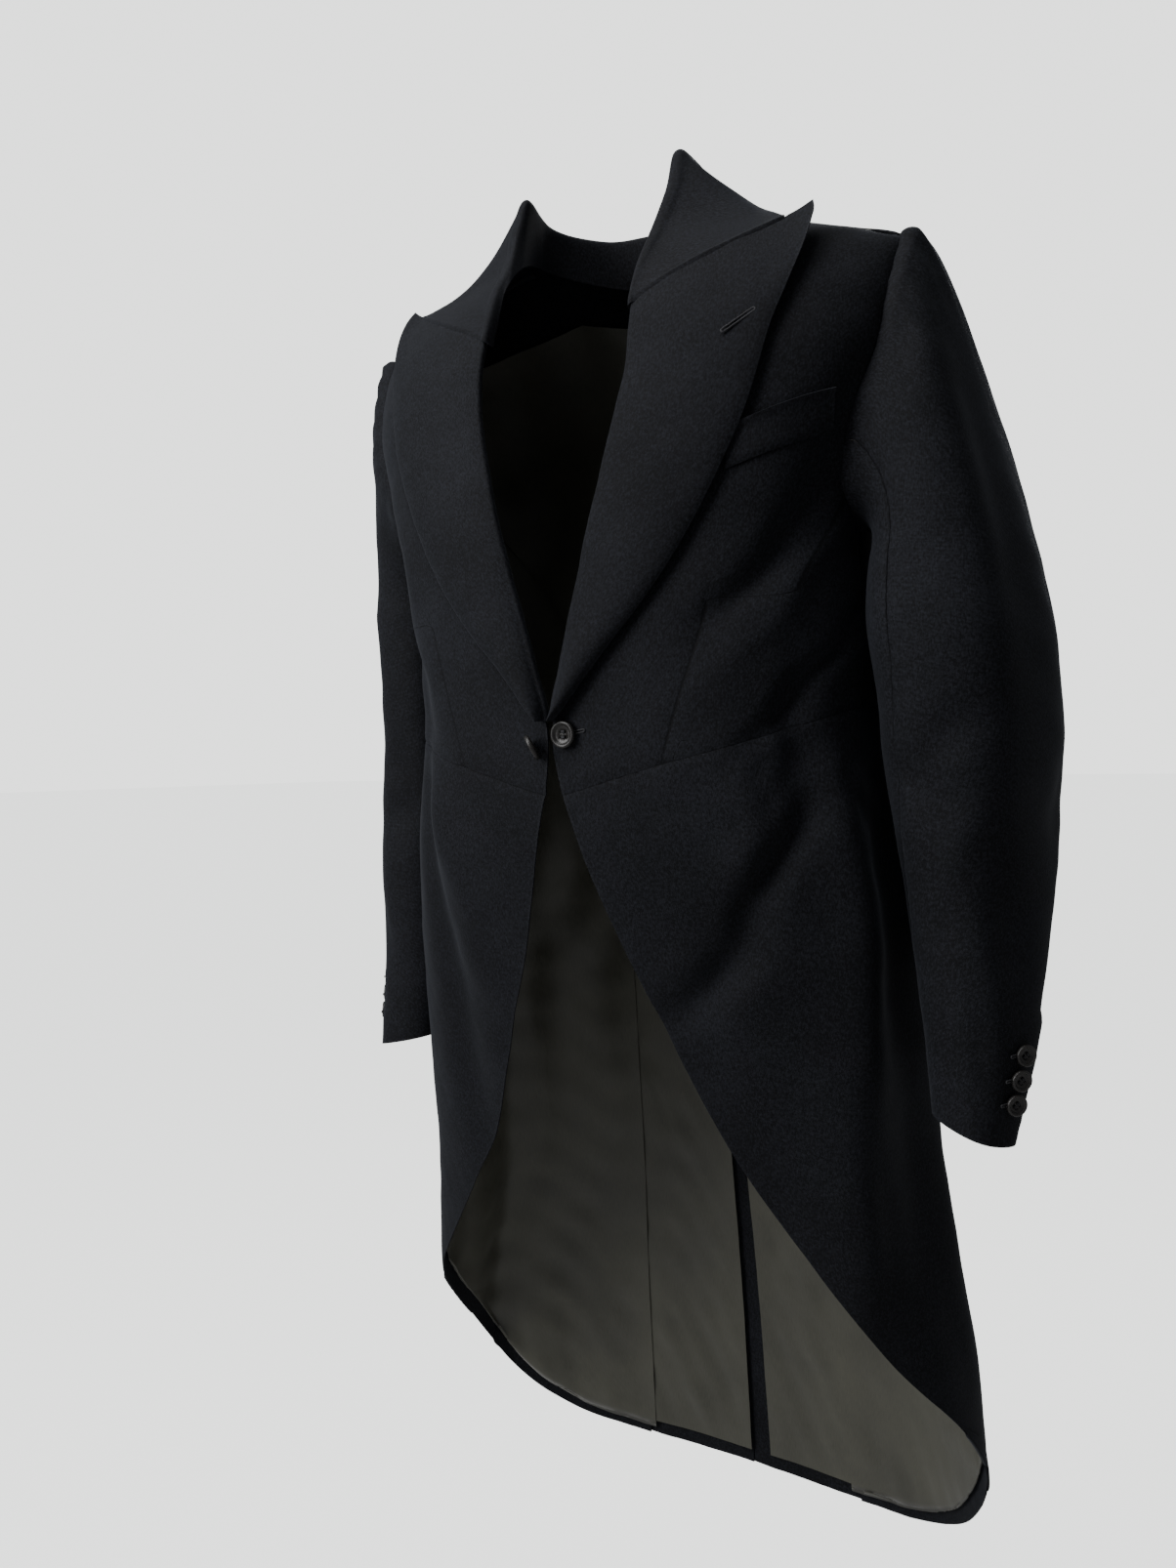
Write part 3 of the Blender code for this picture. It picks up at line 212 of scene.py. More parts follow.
FOLDS = [
    Fold(1, -0.225, 66.0, -0.325, 36.0, 6.0, -0.0075, 0.05),
    Fold(1, -0.240, 76.0, -0.330, 48.0, 5.0, 0.0030, 0.04),
    Fold(1, -0.325, 76.0, -0.390, 52.0, 5.0, -0.0075, 0.04),
    Fold(1, -0.150, 68.0, -0.260, 62.0, 6.0, -0.0040, 0.05),
    Fold(1, -0.370, 60.0, -0.440, 60.0, 6.0, -0.0085, 0.05),
    Fold(1, -0.450, 58.0, -0.590, 22.0, 5.5, -0.0130, 0.05),
    Fold(1, -0.520, 30.0, -0.640, 22.0, 5.0, -0.0022, 0.04),
    Fold(1, -0.440, 44.0, -0.520, 40.0, 5.0, 0.0030, 0.04),
    Fold(1, -0.430, 74.0, -0.820, 46.0, 10.0, 0.0130, 0.07),
    Fold(1, -0.430, 84.0, -0.800, 78.0, 11.0, -0.0070, 0.06),
    Fold(1, -0.400, 50.0, -0.440, 49.0, 3.0, -0.0020, 0.03),
    Fold(1, -0.398, 76.0, -0.460, 74.0, 3.5, -0.0030, 0.03),
    Fold(1, -0.470, 104.0, -0.900, 98.0, 9.0, 0.0050, 0.06),
    Fold(1, -0.450, 128.0, -1.060, 122.0, 11.0, -0.0062, 0.06),
    Fold(1, -0.285, 95.0, -0.660, 95.0, 38.0, 0.0100, 0.05),
    Fold(1, -0.310, 95.0, -0.560, 95.0, 38.0, 0.0120, 0.05),
    Fold(1, -0.272, 97.0, -0.290, 97.0, 26.0, 0.0070, 0.05),
    Fold(1, -0.640, 60.0, -0.850, 56.0, 6.0, -0.0022, 0.06),
    Fold(1, -0.700, 146.0, -1.060, 143.0, 6.0, 0.0034, 0.08),
    Fold(-1, -0.300, 58.0, -0.400, 40.0, 7.0, -0.0045, 0.05),
    Fold(-1, -0.200, 52.0, -0.330, 40.0, 6.0, 0.0030, 0.05),
    Fold(-1, -0.240, 68.0, -0.370, 62.0, 5.0, -0.0038, 0.05),
    Fold(-1, -0.400, 50.0, -0.720, 30.0, 7.0, -0.0075, 0.06),
    Fold(-1, -0.430, 38.0, -0.600, 20.0, 6.0, 0.0040, 0.05),
    Fold(-1, -0.410, 74.0, -0.860, 66.0, 12.0, 0.0055, 0.06),
    Fold(-1, -0.440, 98.0, -0.940, 96.0, 10.0, -0.0062, 0.06),
    Fold(-1, -0.560, 84.0, -0.830, 81.0, 5.0, -0.0024, 0.06),
    Fold(-1, -0.470, 136.0, -1.060, 130.0, 10.0, -0.0056, 0.06),
    Fold(-1, -0.520, 116.0, -0.980, 112.0, 8.0, 0.0044, 0.07),
]
NARROW_FOLD = 20.0        # folds of less half width than this widen as they fall
WANDER, WANDER_TURNS = 1.6, 9.0
# How far out the lapel's edge lies at depths below the neck, and how the folds start beyond it
COVER_DROP = (0.04, 0.12, 0.18, 0.263, 0.34, 0.37, 0.40)
COVER_OUT = (0.180, 0.1645, 0.148, 0.106, 0.042, 0.016, -0.03)
COVER_INSIDE, COVER_EASE = 0.004, 0.024
MESH_STEP = 0.0036        # spacing of the cloth's mesh


def curve(rows, column):
    """A smooth curve through one column of a table over its first column, with no overshoot."""
    knots = sorted((row[0], getattr(row, column)) for row in rows)
    xs, ys = np.array(knots, float).T
    step = np.diff(xs)
    slope = np.diff(ys) / step
    tangent = np.zeros(len(xs))
    tangent[0], tangent[-1] = slope[0], slope[-1]
    for i in range(1, len(xs) - 1):
        if slope[i - 1] * slope[i] > 0:
            weight = step[i - 1] + step[i]
            tangent[i] = 3 * weight / ((2 * step[i] + step[i - 1]) / slope[i - 1]
                                       + (step[i] + 2 * step[i - 1]) / slope[i])

    def read(at):
        at = np.clip(at, xs[0], xs[-1])
        i = np.clip(np.searchsorted(xs, at, side="right") - 1, 0, len(step) - 1)
        t = (at - xs[i]) / step[i]
        start = (1 + 2 * t) * (1 - t) ** 2 * ys[i] + t * (1 - t) ** 2 * step[i] * tangent[i]
        end = t * t * (3 - 2 * t) * ys[i + 1] + t * t * (t - 1) * step[i] * tangent[i + 1]
        return start + end
    return read


half_width, side_y, front_y, back_y = (curve(BODY_SECTIONS, name) for name in Section._fields[1:])


def across(angle):
    a = np.radians(angle)
    return (np.sin(a) + SQUARENESS * np.sin(3 * a)) / (1 - SQUARENESS)


def along(angle):
    a = np.radians(angle)
    return (np.cos(a) - SQUARENESS * np.cos(3 * a)) / (1 - SQUARENESS)


def shoulder_line(x):
    """Height and depth of the shoulder seam over a distance from the middle."""
    reach = (np.abs(x) - NECK_HALF_WIDTH) / (SHOULDER_HALF_WIDTH - NECK_HALF_WIDTH)
    t = np.clip(reach, 0.0, 1.05)
    neck = np.maximum(0.0, 1 - (x / NECK_HALF_WIDTH) ** 2)
    return NECK_RISE * neck ** 2 - SHOULDER_DROP * t * (0.8 + 0.2 * t), -SHOULDER_FORWARD * t


def eased(t):
    """A share from 0 to 1 that starts and ends gently."""
    t = np.clip(t, 0.0, 1.0)
    return t * t * (3 - 2 * t)


def fold_depth(angle, z, side):
    """How far the folds of one side move the cloth outwards."""
    total = np.zeros(np.broadcast(angle, z).shape)
    for fold in FOLDS:
        if fold.side != side:
            continue
        share = (fold.top_height - z) / (fold.top_height - fold.foot_height)
        wander = WANDER * np.sin(WANDER_TURNS * share + fold.top_angle)
        line = fold.top_angle + (fold.foot_angle - fold.top_angle) * share + wander
        widening = 0.8 + 0.35 * np.clip(share, 0, 1) if fold.half_width < NARROW_FOLD else 1.0
        off = (angle - line) / (fold.half_width * widening)
        near = np.minimum(fold.top_height + fold.fade - z, z - fold.foot_height + fold.fade)
        total = total + fold.depth * np.exp(-off ** 2) * eased(near / (2 * fold.fade))
    return total


def beyond_lapel(x, z):
    """Share of the folds' depth that is kept: none under the lapel, which holds the chest flat."""
    return np.clip((np.abs(x) - np.interp(-z, COVER_DROP, COVER_OUT) + COVER_INSIDE) / COVER_EASE, 0, 1)


def body(angle, z, side=0):
    """Points of the body surface at angles from the front and heights, on the left (1) or right (-1)."""
    angle, z = np.broadcast_arrays(np.asarray(angle, float), np.asarray(z, float))
    x = half_width(z) * across(angle)
    c = along(angle)
    middle = side_y(z)
    full = np.where(c > 0, middle + c * (front_y(z) - middle), middle - c * (back_y(z) - middle))
    top, seam_y = shoulder_line(x)
    h = np.clip((top - z) / SHOULDER_ROUND, 0.0, 1.0)
    k = np.sqrt(1 - (1 - h) ** 2)
    depth = fold_depth(angle, z, side) * beyond_lapel(x, z) if side else 0.0
    a = np.radians(angle)
    return np.stack([x + depth * np.sin(a), seam_y * (1 - k) + full * k - depth * np.cos(a), z], -1)


def angle_at(x, z):
    """Angle in the front half where the body surface at a height reaches a distance out."""
    target = np.asarray(x, float) / half_width(z)
    low, high = np.zeros_like(target), np.full_like(target, 90.0)
    for _ in range(40):
        mid = (low + high) / 2
        short = across(mid) < target
        low, high = np.where(short, mid, low), np.where(short, high, mid)
    return (low + high) / 2


def outward(angle, z, side=0):
    """Outward directions of the body surface."""
    ring = body(angle + 0.3, z, side) - body(angle - 0.3, z, side)
    top = shoulder_line(body(angle, z)[..., 0])[0]
    up = body(angle, np.minimum(z + 0.0005, top), side) - body(angle, np.minimum(z, top) - 0.002, side)
    direction = np.cross(ring, up)
    length = np.linalg.norm(direction, axis=-1, keepdims=True)
    sideways = np.where(np.asarray(angle) < 180, 0.1, -0.1)
    plain = np.stack([sideways, np.zeros_like(top), np.ones_like(top)], -1)
    near_top = (top - z < 0.0004)[..., None] | (length < 1e-12)
    direction = np.where(near_top, plain, direction / np.maximum(length, 1e-12))
    return direction / np.linalg.norm(direction, axis=-1, keepdims=True)


def run_along(line):
    """Distance of each point of a line from its first, along it."""
    return np.concatenate([[0], np.cumsum(np.linalg.norm(np.diff(line, axis=0), axis=1))])


def read_along(at, run, line):
    """Points of a line at some distances, where run holds the distances of its own points."""
    return np.stack([np.interp(at, run, line[:, k]) for k in range(line.shape[1])], -1)


def seam(rows, count):
    """Points (angle, height) along a seam table, evenly spaced in its own length."""
    column = rows[0]._fields[1]
    read = curve(rows, column)
    first, last = rows[0].height, rows[-1].height
    fine = first + (last - first) * np.linspace(0, 1, 3000) ** 2
    angles = angle_at(read(fine), fine) if column == "out" else read(fine)
    run = run_along(body(angles, fine))
    return read_along(np.linspace(0, run[-1], count), run, np.stack([angles, fine], 1))


def seam_run(rows):
    """Length of a seam table along the body, in metres."""
    return run_along(body(*seam(rows, 60).T))[-1]


def steps(length, step=MESH_STEP):
    return max(3, round(length / step) + 1)


JUST_BELOW = 2e-7


def shoulder_points(first_x, last_x, count, back):
    """Points (angle, height) along the shoulder seam, on the front or the back."""
    x = np.linspace(first_x, last_x, count)
    z = shoulder_line(x)[0] - JUST_BELOW
    angle = angle_at(x, z)
    return np.stack([180 - angle if back else angle, z], 1)


def patch(left, right, top, bottom, stretch=(0.0033, 1)):
    """Grid of (angle, height) inside four borders of points, corner to corner."""
    shares = []
    for line in (left, right, top, bottom):
        run = run_along(line * stretch)
        shares.append(run / run[-1])
    g = ((shares[0] + shares[1]) / 2)[:, None, None]
    f = ((shares[2] + shares[3]) / 2)[None, :, None]
    ruled = (1 - f) * left[:, None] + f * right[:, None] + (1 - g) * top[None] + g * bottom[None]
    corners = ((1 - f) * (1 - g) * top[0] + f * (1 - g) * top[-1]
               + (1 - f) * g * bottom[0] + f * g * bottom[-1])
    return ruled - corners


def lay(grid, side, lift=0.0):
    """Places of a grid of (angle, height) on one side of the coat, lifted off its surface."""
    angle, z = grid[..., 0], grid[..., 1]
    points = body(angle, z, side) + outward(angle, z, side) * np.asarray(lift)[..., None]
    return points * (side, 1, 1)


def uneven(points, depth):
    """A slight unevenness of worn cloth, the same for pieces that meet."""
    x, y, z = points[..., 0], points[..., 1], points[..., 2]
    return depth * (np.sin(61 * x + 23 * z + 1.3) * np.sin(47 * z - 31 * y + 0.4)
                    + 0.6 * np.sin(113 * x - 71 * z + 2.1) * np.sin(97 * y + 83 * z)
                    + 0.4 * np.sin(171 * z + 151 * x) * np.sin(139 * y - 127 * x + 0.9))


def square_to(points, flip):
    """Directions square to a grid of places, out of the cloth's face."""
    run, fall = np.gradient(points, axis=1), np.gradient(points, axis=0)
    n = np.cross(run, -fall)
    n = n / np.maximum(np.linalg.norm(n, axis=-1, keepdims=True), 1e-12)
    return -n if flip else n


def runs(points):
    """Distance of each place along its row and down its column."""
    u = np.linalg.norm(np.diff(points, axis=1), axis=-1).cumsum(1)
    v = np.linalg.norm(np.diff(points, axis=0), axis=-1).cumsum(0)
    return np.pad(u, ((0, 0), (1, 0))), np.pad(v, ((1, 0), (0, 0)))


SEAM_SINK, SEAM_HALF_WIDTH, PUCKER = 0.0007, 0.0026, 0.45
DART_SINK, DART_HALF_WIDTH, DART_END = 0.0007, 0.0034, 0.05
STITCHED_SHADE = 0.0005   # a seam's line of painted shade is narrower than a dart's by this much
UNEVENNESS = 0.00035


def cloth(name, points, flip, finishes, thickness, free="", sewn="", band=None, dart=None, smooth=0):
    """A sheet of cloth through a grid of places, with its pattern's metres as its UV map.

    free and sewn name its borders, of t, b, l and r. A band as wide as given along the free ones
    keeps the first finish on the inside too. A dart is the distance of each place from its line
    and how much of it is left there. smooth is the times that the mesh is subdivided."""
    rows, columns = points.shape[:2]
    u, v = runs(points)
    away = {"l": u - u[:, :1], "r": u[:, -1:] - u, "t": v - v[:1], "b": v[-1:] - v}
    far = np.full(u.shape, 1.0)
    edge = np.minimum.reduce([away[k] for k in free] + [far])
    joined = np.minimum.reduce([away[k] for k in sewn] + [far])
    n = square_to(points, flip)
    pucker = 1 + PUCKER * np.sin(points[..., 2] * 410) * np.sin(points[..., 2] * 173 + points[..., 0] * 250)
    sink = -SEAM_SINK * np.exp(-(joined / SEAM_HALF_WIDTH) ** 2) * pucker
    points = points + n * (sink + uneven(points, UNEVENNESS))[..., None]
    # crease holds the distance to the nearest seam or dart, along which the wool paints shade
    crease = joined + STITCHED_SHADE
    if dart is not None:
        line, left = dart
        points = points + n * (-DART_SINK * np.exp(-(line / DART_HALF_WIDTH) ** 2) * left)[..., None]
        line = line + (1 - left) * DART_END
        crease = np.where(np.abs(line) < crease, line, crease)
    made = bmesh.new()
    pattern = made.loops.layers.uv.new("pattern")
    # edge holds the distance to a free border, along which the wool paints a highlight
    edge_layer = made.verts.layers.float.new("edge")
    crease_layer = made.verts.layers.float.new("crease")
    bmesh.ops.create_grid(made, x_segments=columns - 1, y_segments=rows - 1, size=0.5)
    made.verts.index_update()
    index = []
    for vert in made.verts:
        i = round((vert.co.x + 0.5) * (columns - 1))
        j = round((0.5 - vert.co.y) * (rows - 1))
        index.append((j, i))
        vert.co = points[j, i]
        vert[edge_layer] = edge[j, i]
        vert[crease_layer] = crease[j, i]
    for face in made.faces:
        face.smooth = True
        near = 1.0
        for loop in face.loops:
            j, i = index[loop.vert.index]
            loop[pattern].uv = (u[j, i] - u[j, columns // 2], v[j, i])
            near = min(near, edge[j, i])
        face.material_index = 0 if band is None or near < band else 1
    if flip:
        bmesh.ops.reverse_faces(made, faces=made.faces)
    for border in made.edges:
        border.smooth = not border.is_boundary
    mesh = bpy.data.meshes.new(name)
    made.to_mesh(mesh)
    made.free()
    piece = bpy.data.objects.new(name, mesh)
    bpy.context.scene.collection.objects.link(piece)
    for finish in finishes:
        mesh.materials.append(finish)
    if smooth:
        smoothing = piece.modifiers.new("smoothing", "SUBSURF")
        smoothing.levels = smoothing.render_levels = smooth
    wall = piece.modifiers.new("wall", "SOLIDIFY")
    wall.thickness = thickness
    wall.offset = -1
    wall.material_offset = 1 if band is not None else 0
    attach(piece, "root")
    return piece


def sheet_of(stem, side, points, flip, finishes, thickness, slot="wool", held="hung", **borders):
    """A sheet of cloth in the place of one solid, which is hidden. Its area is summed but not kept."""
    side = f"_{side}" if side else ""
    piece = cloth(f"{stem}_cloth{side}", points, flip, finishes, thickness, **borders)
    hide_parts(stem + side)
    u, v = runs(points)
    width, length = np.diff(u, axis=1), np.diff(v, axis=0)
    area = (width[:-1] + width[1:]) / 2 * (length[:, :-1] + length[:, 1:]) / 2
    float(area.sum())


# Widths of the twill, of the painted highlight along free edges and of the painted shade along seams and
# darts
TWILL, EDGE_HIGHLIGHT_WIDTH, GROOVE_SHADE_WIDTH = 0.0016, 0.0024, 0.0016


def wool_of(name, dark, light):
    """Fine black worsted: a steep twill, a short fuzz, a painted highlight along the ironed free edges and
    painted shade along the sewn lines.
    """
    made, wire, shader = finish_of(name, Specular_IOR_Level=0.12, Sheen_Weight=0.05, Sheen_Roughness=0.40,
                                   Sheen_Tint=(0.76, 0.84, 1.0, 1))
    pattern = wire.node("UVMap", {"uv_map": "pattern"})
    place = wire.node("TexCoord", outlet=3)
    split = pattern.node("SeparateXYZ", Vector=pattern)
    down = Wire(wire.tree, split.socket.node.outputs[1])
    twill = ((split * 0.84 + down * 0.54) * (math.tau / TWILL)).wave()
    slope = wire.node("Mapping", Vector=pattern, Rotation=(0, 0, 0.57), Scale=(900.0, 300.0, 1.0))
    yarn = slope.noise(1.0, 2.0)
    fuzz = place.noise(520.0, 4.0, Roughness=0.7)
    wear = place.noise(11.0, 4.0, Roughness=0.55)
    edge = wire.node("Attribute", {"attribute_name": "edge"}, outlet=2)
    crease = wire.node("Attribute", {"attribute_name": "crease"}, outlet=2)
    # Painted highlight: the cloth is made paler along its free edges, where light catches the rounded rim;
    # these edges are also a little less rough.
    edge_highlight = (1 - edge / EDGE_HIGHLIGHT_WIDTH).bounded()
    # Painted shade: the cloth is made darker along seams and darts, where shade falls in their valleys; the
    # same mask deepens the bump there.
    groove_shade = (1 - crease.sum("ABSOLUTE", crease) / GROOVE_SHADE_WIDTH).bounded()
    tone = (0.26 + (yarn - 0.5) * 1.1 + (fuzz - 0.5) * 2.2 + (wear - 0.5) * 0.7 + twill * 0.05
            + edge_highlight * 0.12 - groove_shade * 0.5)
    feed(tone.bounded().tint(dark, light), shader, "Base Color")
    feed((0.80 + (fuzz - 0.5) * 0.2 - edge_highlight * 0.12).bounded(), shader, "Roughness")
    feed_bump(twill * 0.06 + yarn * 0.9 + fuzz * 0.7 - groove_shade * 1.2, shader, 0.5, 0.00035)
    return made


def sateen_of(name, dark, light):
    """Dark olive sateen: a close satin face with fine ribs down the cloth."""
    made, wire, shader = finish_of(name, Specular_IOR_Level=0.45, Sheen_Weight=0.12, Sheen_Roughness=0.4)
    pattern = wire.node("UVMap", {"uv_map": "pattern"})
    place = wire.node("TexCoord", outlet=3)
    thread = wire.node("Mapping", Vector=pattern, Scale=(1500.0, 130.0, 1.0)).noise(1.0, 2.0)
    cloud = place.noise(16.0, 3.0)
    tone = 0.5 + (thread - 0.5) * 0.8 + (cloud - 0.5) * 0.9
    feed(tone.bounded().tint(dark, light), shader, "Base Color")
    feed((0.46 + (cloud - 0.5) * 0.2 + (thread - 0.5) * 0.2).bounded(), shader, "Roughness")
    feed_bump(thread + cloud * 0.3, shader, 0.35, 0.0002)
    return made


WOOL = wool_of("black_worsted", (0.0016, 0.0018, 0.0026), (0.0150, 0.0162, 0.0215))
SATEEN = sateen_of("olive_sateen", (0.020, 0.020, 0.015), (0.066, 0.065, 0.048))

EdgePoint = namedtuple("EdgePoint", "height out")
FOLD_LINE = [
    EdgePoint(0.000, 0.0780),
    EdgePoint(-0.018, 0.0670),
    EdgePoint(-0.055, 0.0660),
    EdgePoint(-0.118, 0.0670),
    EdgePoint(-0.207, 0.0500),
    EdgePoint(-0.245, 0.0400),
    EdgePoint(-0.339, 0.0130),
    EdgePoint(-0.376, 0.0035),
    EdgePoint(-0.395, 0.0022),
    EdgePoint(-0.433, 0.0075),
]
SeamPoint = namedtuple("SeamPoint", "height angle")
ARMHOLE_FRONT = [
    SeamPoint(-0.051, 78.0),
    SeamPoint(-0.085, 73.0),
    SeamPoint(-0.130, 70.5),
    SeamPoint(-0.180, 70.5),
    SeamPoint(-0.220, 74.5),
    SeamPoint(-0.246, 85.0),
]
UNDERARM_SEAM = [
    SeamPoint(-0.246, 85.0),
    SeamPoint(-0.310, 84.0),
    SeamPoint(-0.374, 83.0),
]
WaistPoint = namedtuple("WaistPoint", "angle height")
WAIST_SEAM = [
    WaistPoint(2.1, -0.433),
    WaistPoint(24.0, -0.4125),
    WaistPoint(49.0, -0.395),
    WaistPoint(66.0, -0.384),
    WaistPoint(83.0, -0.374),
    WaistPoint(115.0, -0.372),
    WaistPoint(161.0, -0.383),
]
SIDES = (("left", 1), ("right", -1))
WOOL_WALL = 0.0014
FACING_BAND = 0.060
SEAM_LAP = 0.0006         # how far a panel runs on past the waist seam
DART_TOP, DART_FOOT = (0.126, -0.284), (0.088, -0.407)
DART_START = 8            # the dart is full from one part in this many of its length
waist = curve(WAIST_SEAM, "height")


def waist_points(first, last, count, lift):
    angles = np.linspace(first, last, count)
    return np.stack([angles, waist(angles) + lift], 1)


def swept(first, last, count, power):
    """Points (angle, height) from one to another, level at first and ever steeper."""
    t = np.linspace(0, 1, count)[:, None]
    return first + (last - first) * np.concatenate([t, t ** power], axis=1)


ARM_ROWS, SIDE_ROWS = steps(seam_run(ARMHOLE_FRONT)), steps(seam_run(UNDERARM_SEAM))
FRONT_COLUMNS = steps(0.205)
SHOULDER_FRONT = shoulder_points(NECK_HALF_WIDTH, SHOULDER_HALF_WIDTH, FRONT_COLUMNS, back=False)
front_outer = np.concatenate([seam(ARMHOLE_FRONT, ARM_ROWS)[:-1], seam(UNDERARM_SEAM, SIDE_ROWS)])
front_outer[0] = SHOULDER_FRONT[-1]
front_inner = seam(FOLD_LINE, len(front_outer))
front_inner[0] = SHOULDER_FRONT[0]
front_bottom = waist_points(front_inner[-1, 0], front_outer[-1, 0], FRONT_COLUMNS, -SEAM_LAP)
front_inner[-1], front_outer[-1] = front_bottom[0], front_bottom[-1]
FOREPART = patch(front_inner, front_outer, SHOULDER_FRONT, front_bottom)
run_x, run_z = DART_FOOT[0] - DART_TOP[0], DART_FOOT[1] - DART_TOP[1]
size = math.hypot(run_x, run_z)
for side, mirror in SIDES:
    points = lay(FOREPART, mirror)
    x, z = np.abs(points[..., 0]) - DART_TOP[0], points[..., 2] - DART_TOP[1]
    dart = (x * run_z - z * run_x) / size, np.clip((x * run_x + z * run_z) / size ** 2 * DART_START, 0, 1)
    sheet_of("forepart", side, points, mirror < 0, (WOOL, WOOL, SATEEN), WOOL_WALL, free="l", sewn="tbr",
             band=FACING_BAND, dart=dart)

# Side bodies
# The narrow panels under the arms, from the armhole to the waist seam, sewn to the forepart in front
# and to the back behind.
BACK_SEAM = [
    SeamPoint(-0.170, 114.0),
    SeamPoint(-0.205, 125.0),
    SeamPoint(-0.260, 140.0),
    SeamPoint(-0.330, 153.0),
    SeamPoint(-0.383, 161.0),
]
SIDE_LAP = 0.22           # degrees that the panel runs on past its upright seams
UNDERARM_HOLLOW = 1.8
side_front = seam(UNDERARM_SEAM, SIDE_ROWS) - (SIDE_LAP, 0)
side_back = seam(BACK_SEAM, SIDE_ROWS) + (SIDE_LAP, 0)
side_columns = steps(0.110)
side_bottom = waist_points(side_front[-1, 0], side_back[-1, 0], side_columns, -SEAM_LAP)
side_top = swept(side_front[0], side_back[0], side_columns, UNDERARM_HOLLOW)
side_front[-1], side_back[-1] = side_bottom[0], side_bottom[-1]
SIDE_BODY = patch(side_front, side_back, side_top, side_bottom)
for side, mirror in SIDES:
    sheet_of("side_body", side, lay(SIDE_BODY, mirror), mirror < 0, (WOOL, WOOL, SATEEN), WOOL_WALL,
             sewn="tblr", band=0.0)

# Back and tails
# Each half of the back is cut in one with its tail, from the collar to the hem. The halves are sewn
# down the middle to the waist. Below it the left laps over the right, and each outer edge is the
# pressed edge of a pleat over the skirt.
ARMHOLE_BACK = [
    SeamPoint(-0.051, 102.0),
    SeamPoint(-0.085, 109.0),
    SeamPoint(-0.130, 113.0),
    SeamPoint(-0.170, 114.0),
]
PLEAT_LINE = [
    SeamPoint(-0.383, 161.0),
    SeamPoint(-0.550, 159.0),
    SeamPoint(-0.760, 158.0),
    SeamPoint(-1.079, 158.0),
]
HEM_BACK = -1.080
NAPE_HEIGHT = -0.006
TAIL_WALL = 0.0012
VENT_LAP, PLEAT_LAP = 2.6, 1.5       # degrees that the laps reach over
LAP_LIFT = 0.0026
LAP_START, LAP_EASE = -0.388, 0.030
HEM_SWEEP = 1.5
BACK_STEP = 0.005
tail_rows, neck_columns = steps(0.70, BACK_STEP), steps(0.080, BACK_STEP)
blade = shoulder_points(NECK_HALF_WIDTH, SHOULDER_HALF_WIDTH, steps(0.150, BACK_STEP), back=True)
t = np.linspace(0, 1, neck_columns)[:-1]
nape_z = NAPE_HEIGHT + (blade[0, 1] - NAPE_HEIGHT) * t ** 2
nape = np.stack([180 - angle_at(NECK_HALF_WIDTH * t, nape_z), nape_z], 1)
back_top = np.concatenate([nape, blade])
arm_rows = steps(seam_run(ARMHOLE_BACK))
blade_rows = steps(seam_run(BACK_SEAM))
back_outer = np.concatenate([seam(ARMHOLE_BACK, arm_rows)[:-1], seam(BACK_SEAM, blade_rows)[:-1],
                             seam(PLEAT_LINE, tail_rows)])
back_outer[0] = back_top[-1]
run = run_along(body(*back_outer.T))
back_inner = np.stack([np.full(len(run), 180.0), NAPE_HEIGHT + (HEM_BACK - NAPE_HEIGHT) * run / run[-1]], 1)
back_hem = swept(back_inner[-1], back_outer[-1], len(back_top), HEM_SWEEP)
BACK = patch(back_inner, back_outer, back_top, back_hem)
WAIST_ROW = arm_rows + blade_rows - 2
low = eased((LAP_START - BACK[..., 1]) / LAP_EASE)
share = np.linspace(0, 1, len(back_top))[None, :]
for side, mirror in SIDES:
    laps = 1 if side == "left" else 0
    grid = BACK.copy()
    grid[..., 0] += low * (VENT_LAP * np.clip(1 - share * 3, 0, 1) * laps
                           - PLEAT_LAP * np.clip(share * 3 - 2, 0, 1))
    lift = low * LAP_LIFT * (np.clip(share * 4 - 3, 0, 1) ** 1.5 + np.clip(1 - share * 4, 0, 1) ** 1.5 * laps)
    sheet_of("back", side, lay(grid, mirror, lift), mirror < 0, (WOOL,), TAIL_WALL, free="b", sewn="t")

# Skirts
# The long side skirts hang from the waist seam. Their front edge sweeps back from the link to the
# tails in one curve, and a band of the cloth is turned in behind it.
CUTAWAY = [
    SeamPoint(-0.433, 2.1),
    SeamPoint(-0.478, 5.4),
    SeamPoint(-0.544, 10.5),
    SeamPoint(-0.616, 17.1),
    SeamPoint(-0.698, 25.4),
    SeamPoint(-0.771, 37.3),
    SeamPoint(-0.845, 54.4),
    SeamPoint(-0.892, 73.0),
    SeamPoint(-0.925, 92.0),
]
TAIL_HEM = [
    SeamPoint(-0.925, 92.0),
    SeamPoint(-0.968, 102.5),
    SeamPoint(-1.017, 116.0),
    SeamPoint(-1.054, 132.0),
    SeamPoint(-1.073, 146.0),
    SeamPoint(-1.079, 158.0),
]
SKIRT_STEP = 0.0042
skirt_rows, skirt_columns = steps(0.66, SKIRT_STEP), steps(0.34, SKIRT_STEP)
pleat = seam(PLEAT_LINE, skirt_rows)
cutaway = seam(CUTAWAY, skirt_rows)
skirt_top = waist_points(cutaway[0, 0], pleat[0, 0], skirt_columns, 0.0)
hem = seam(TAIL_HEM, skirt_columns)
cutaway[0], pleat[0], cutaway[-1], hem[-1] = skirt_top[0], skirt_top[-1], hem[0], pleat[-1]
SKIRT = patch(cutaway, pleat, skirt_top, hem)
for side, mirror in SIDES:
    sheet_of("skirt", side, lay(SKIRT, mirror), mirror < 0, (WOOL,), TAIL_WALL, free="lb", sewn="t")

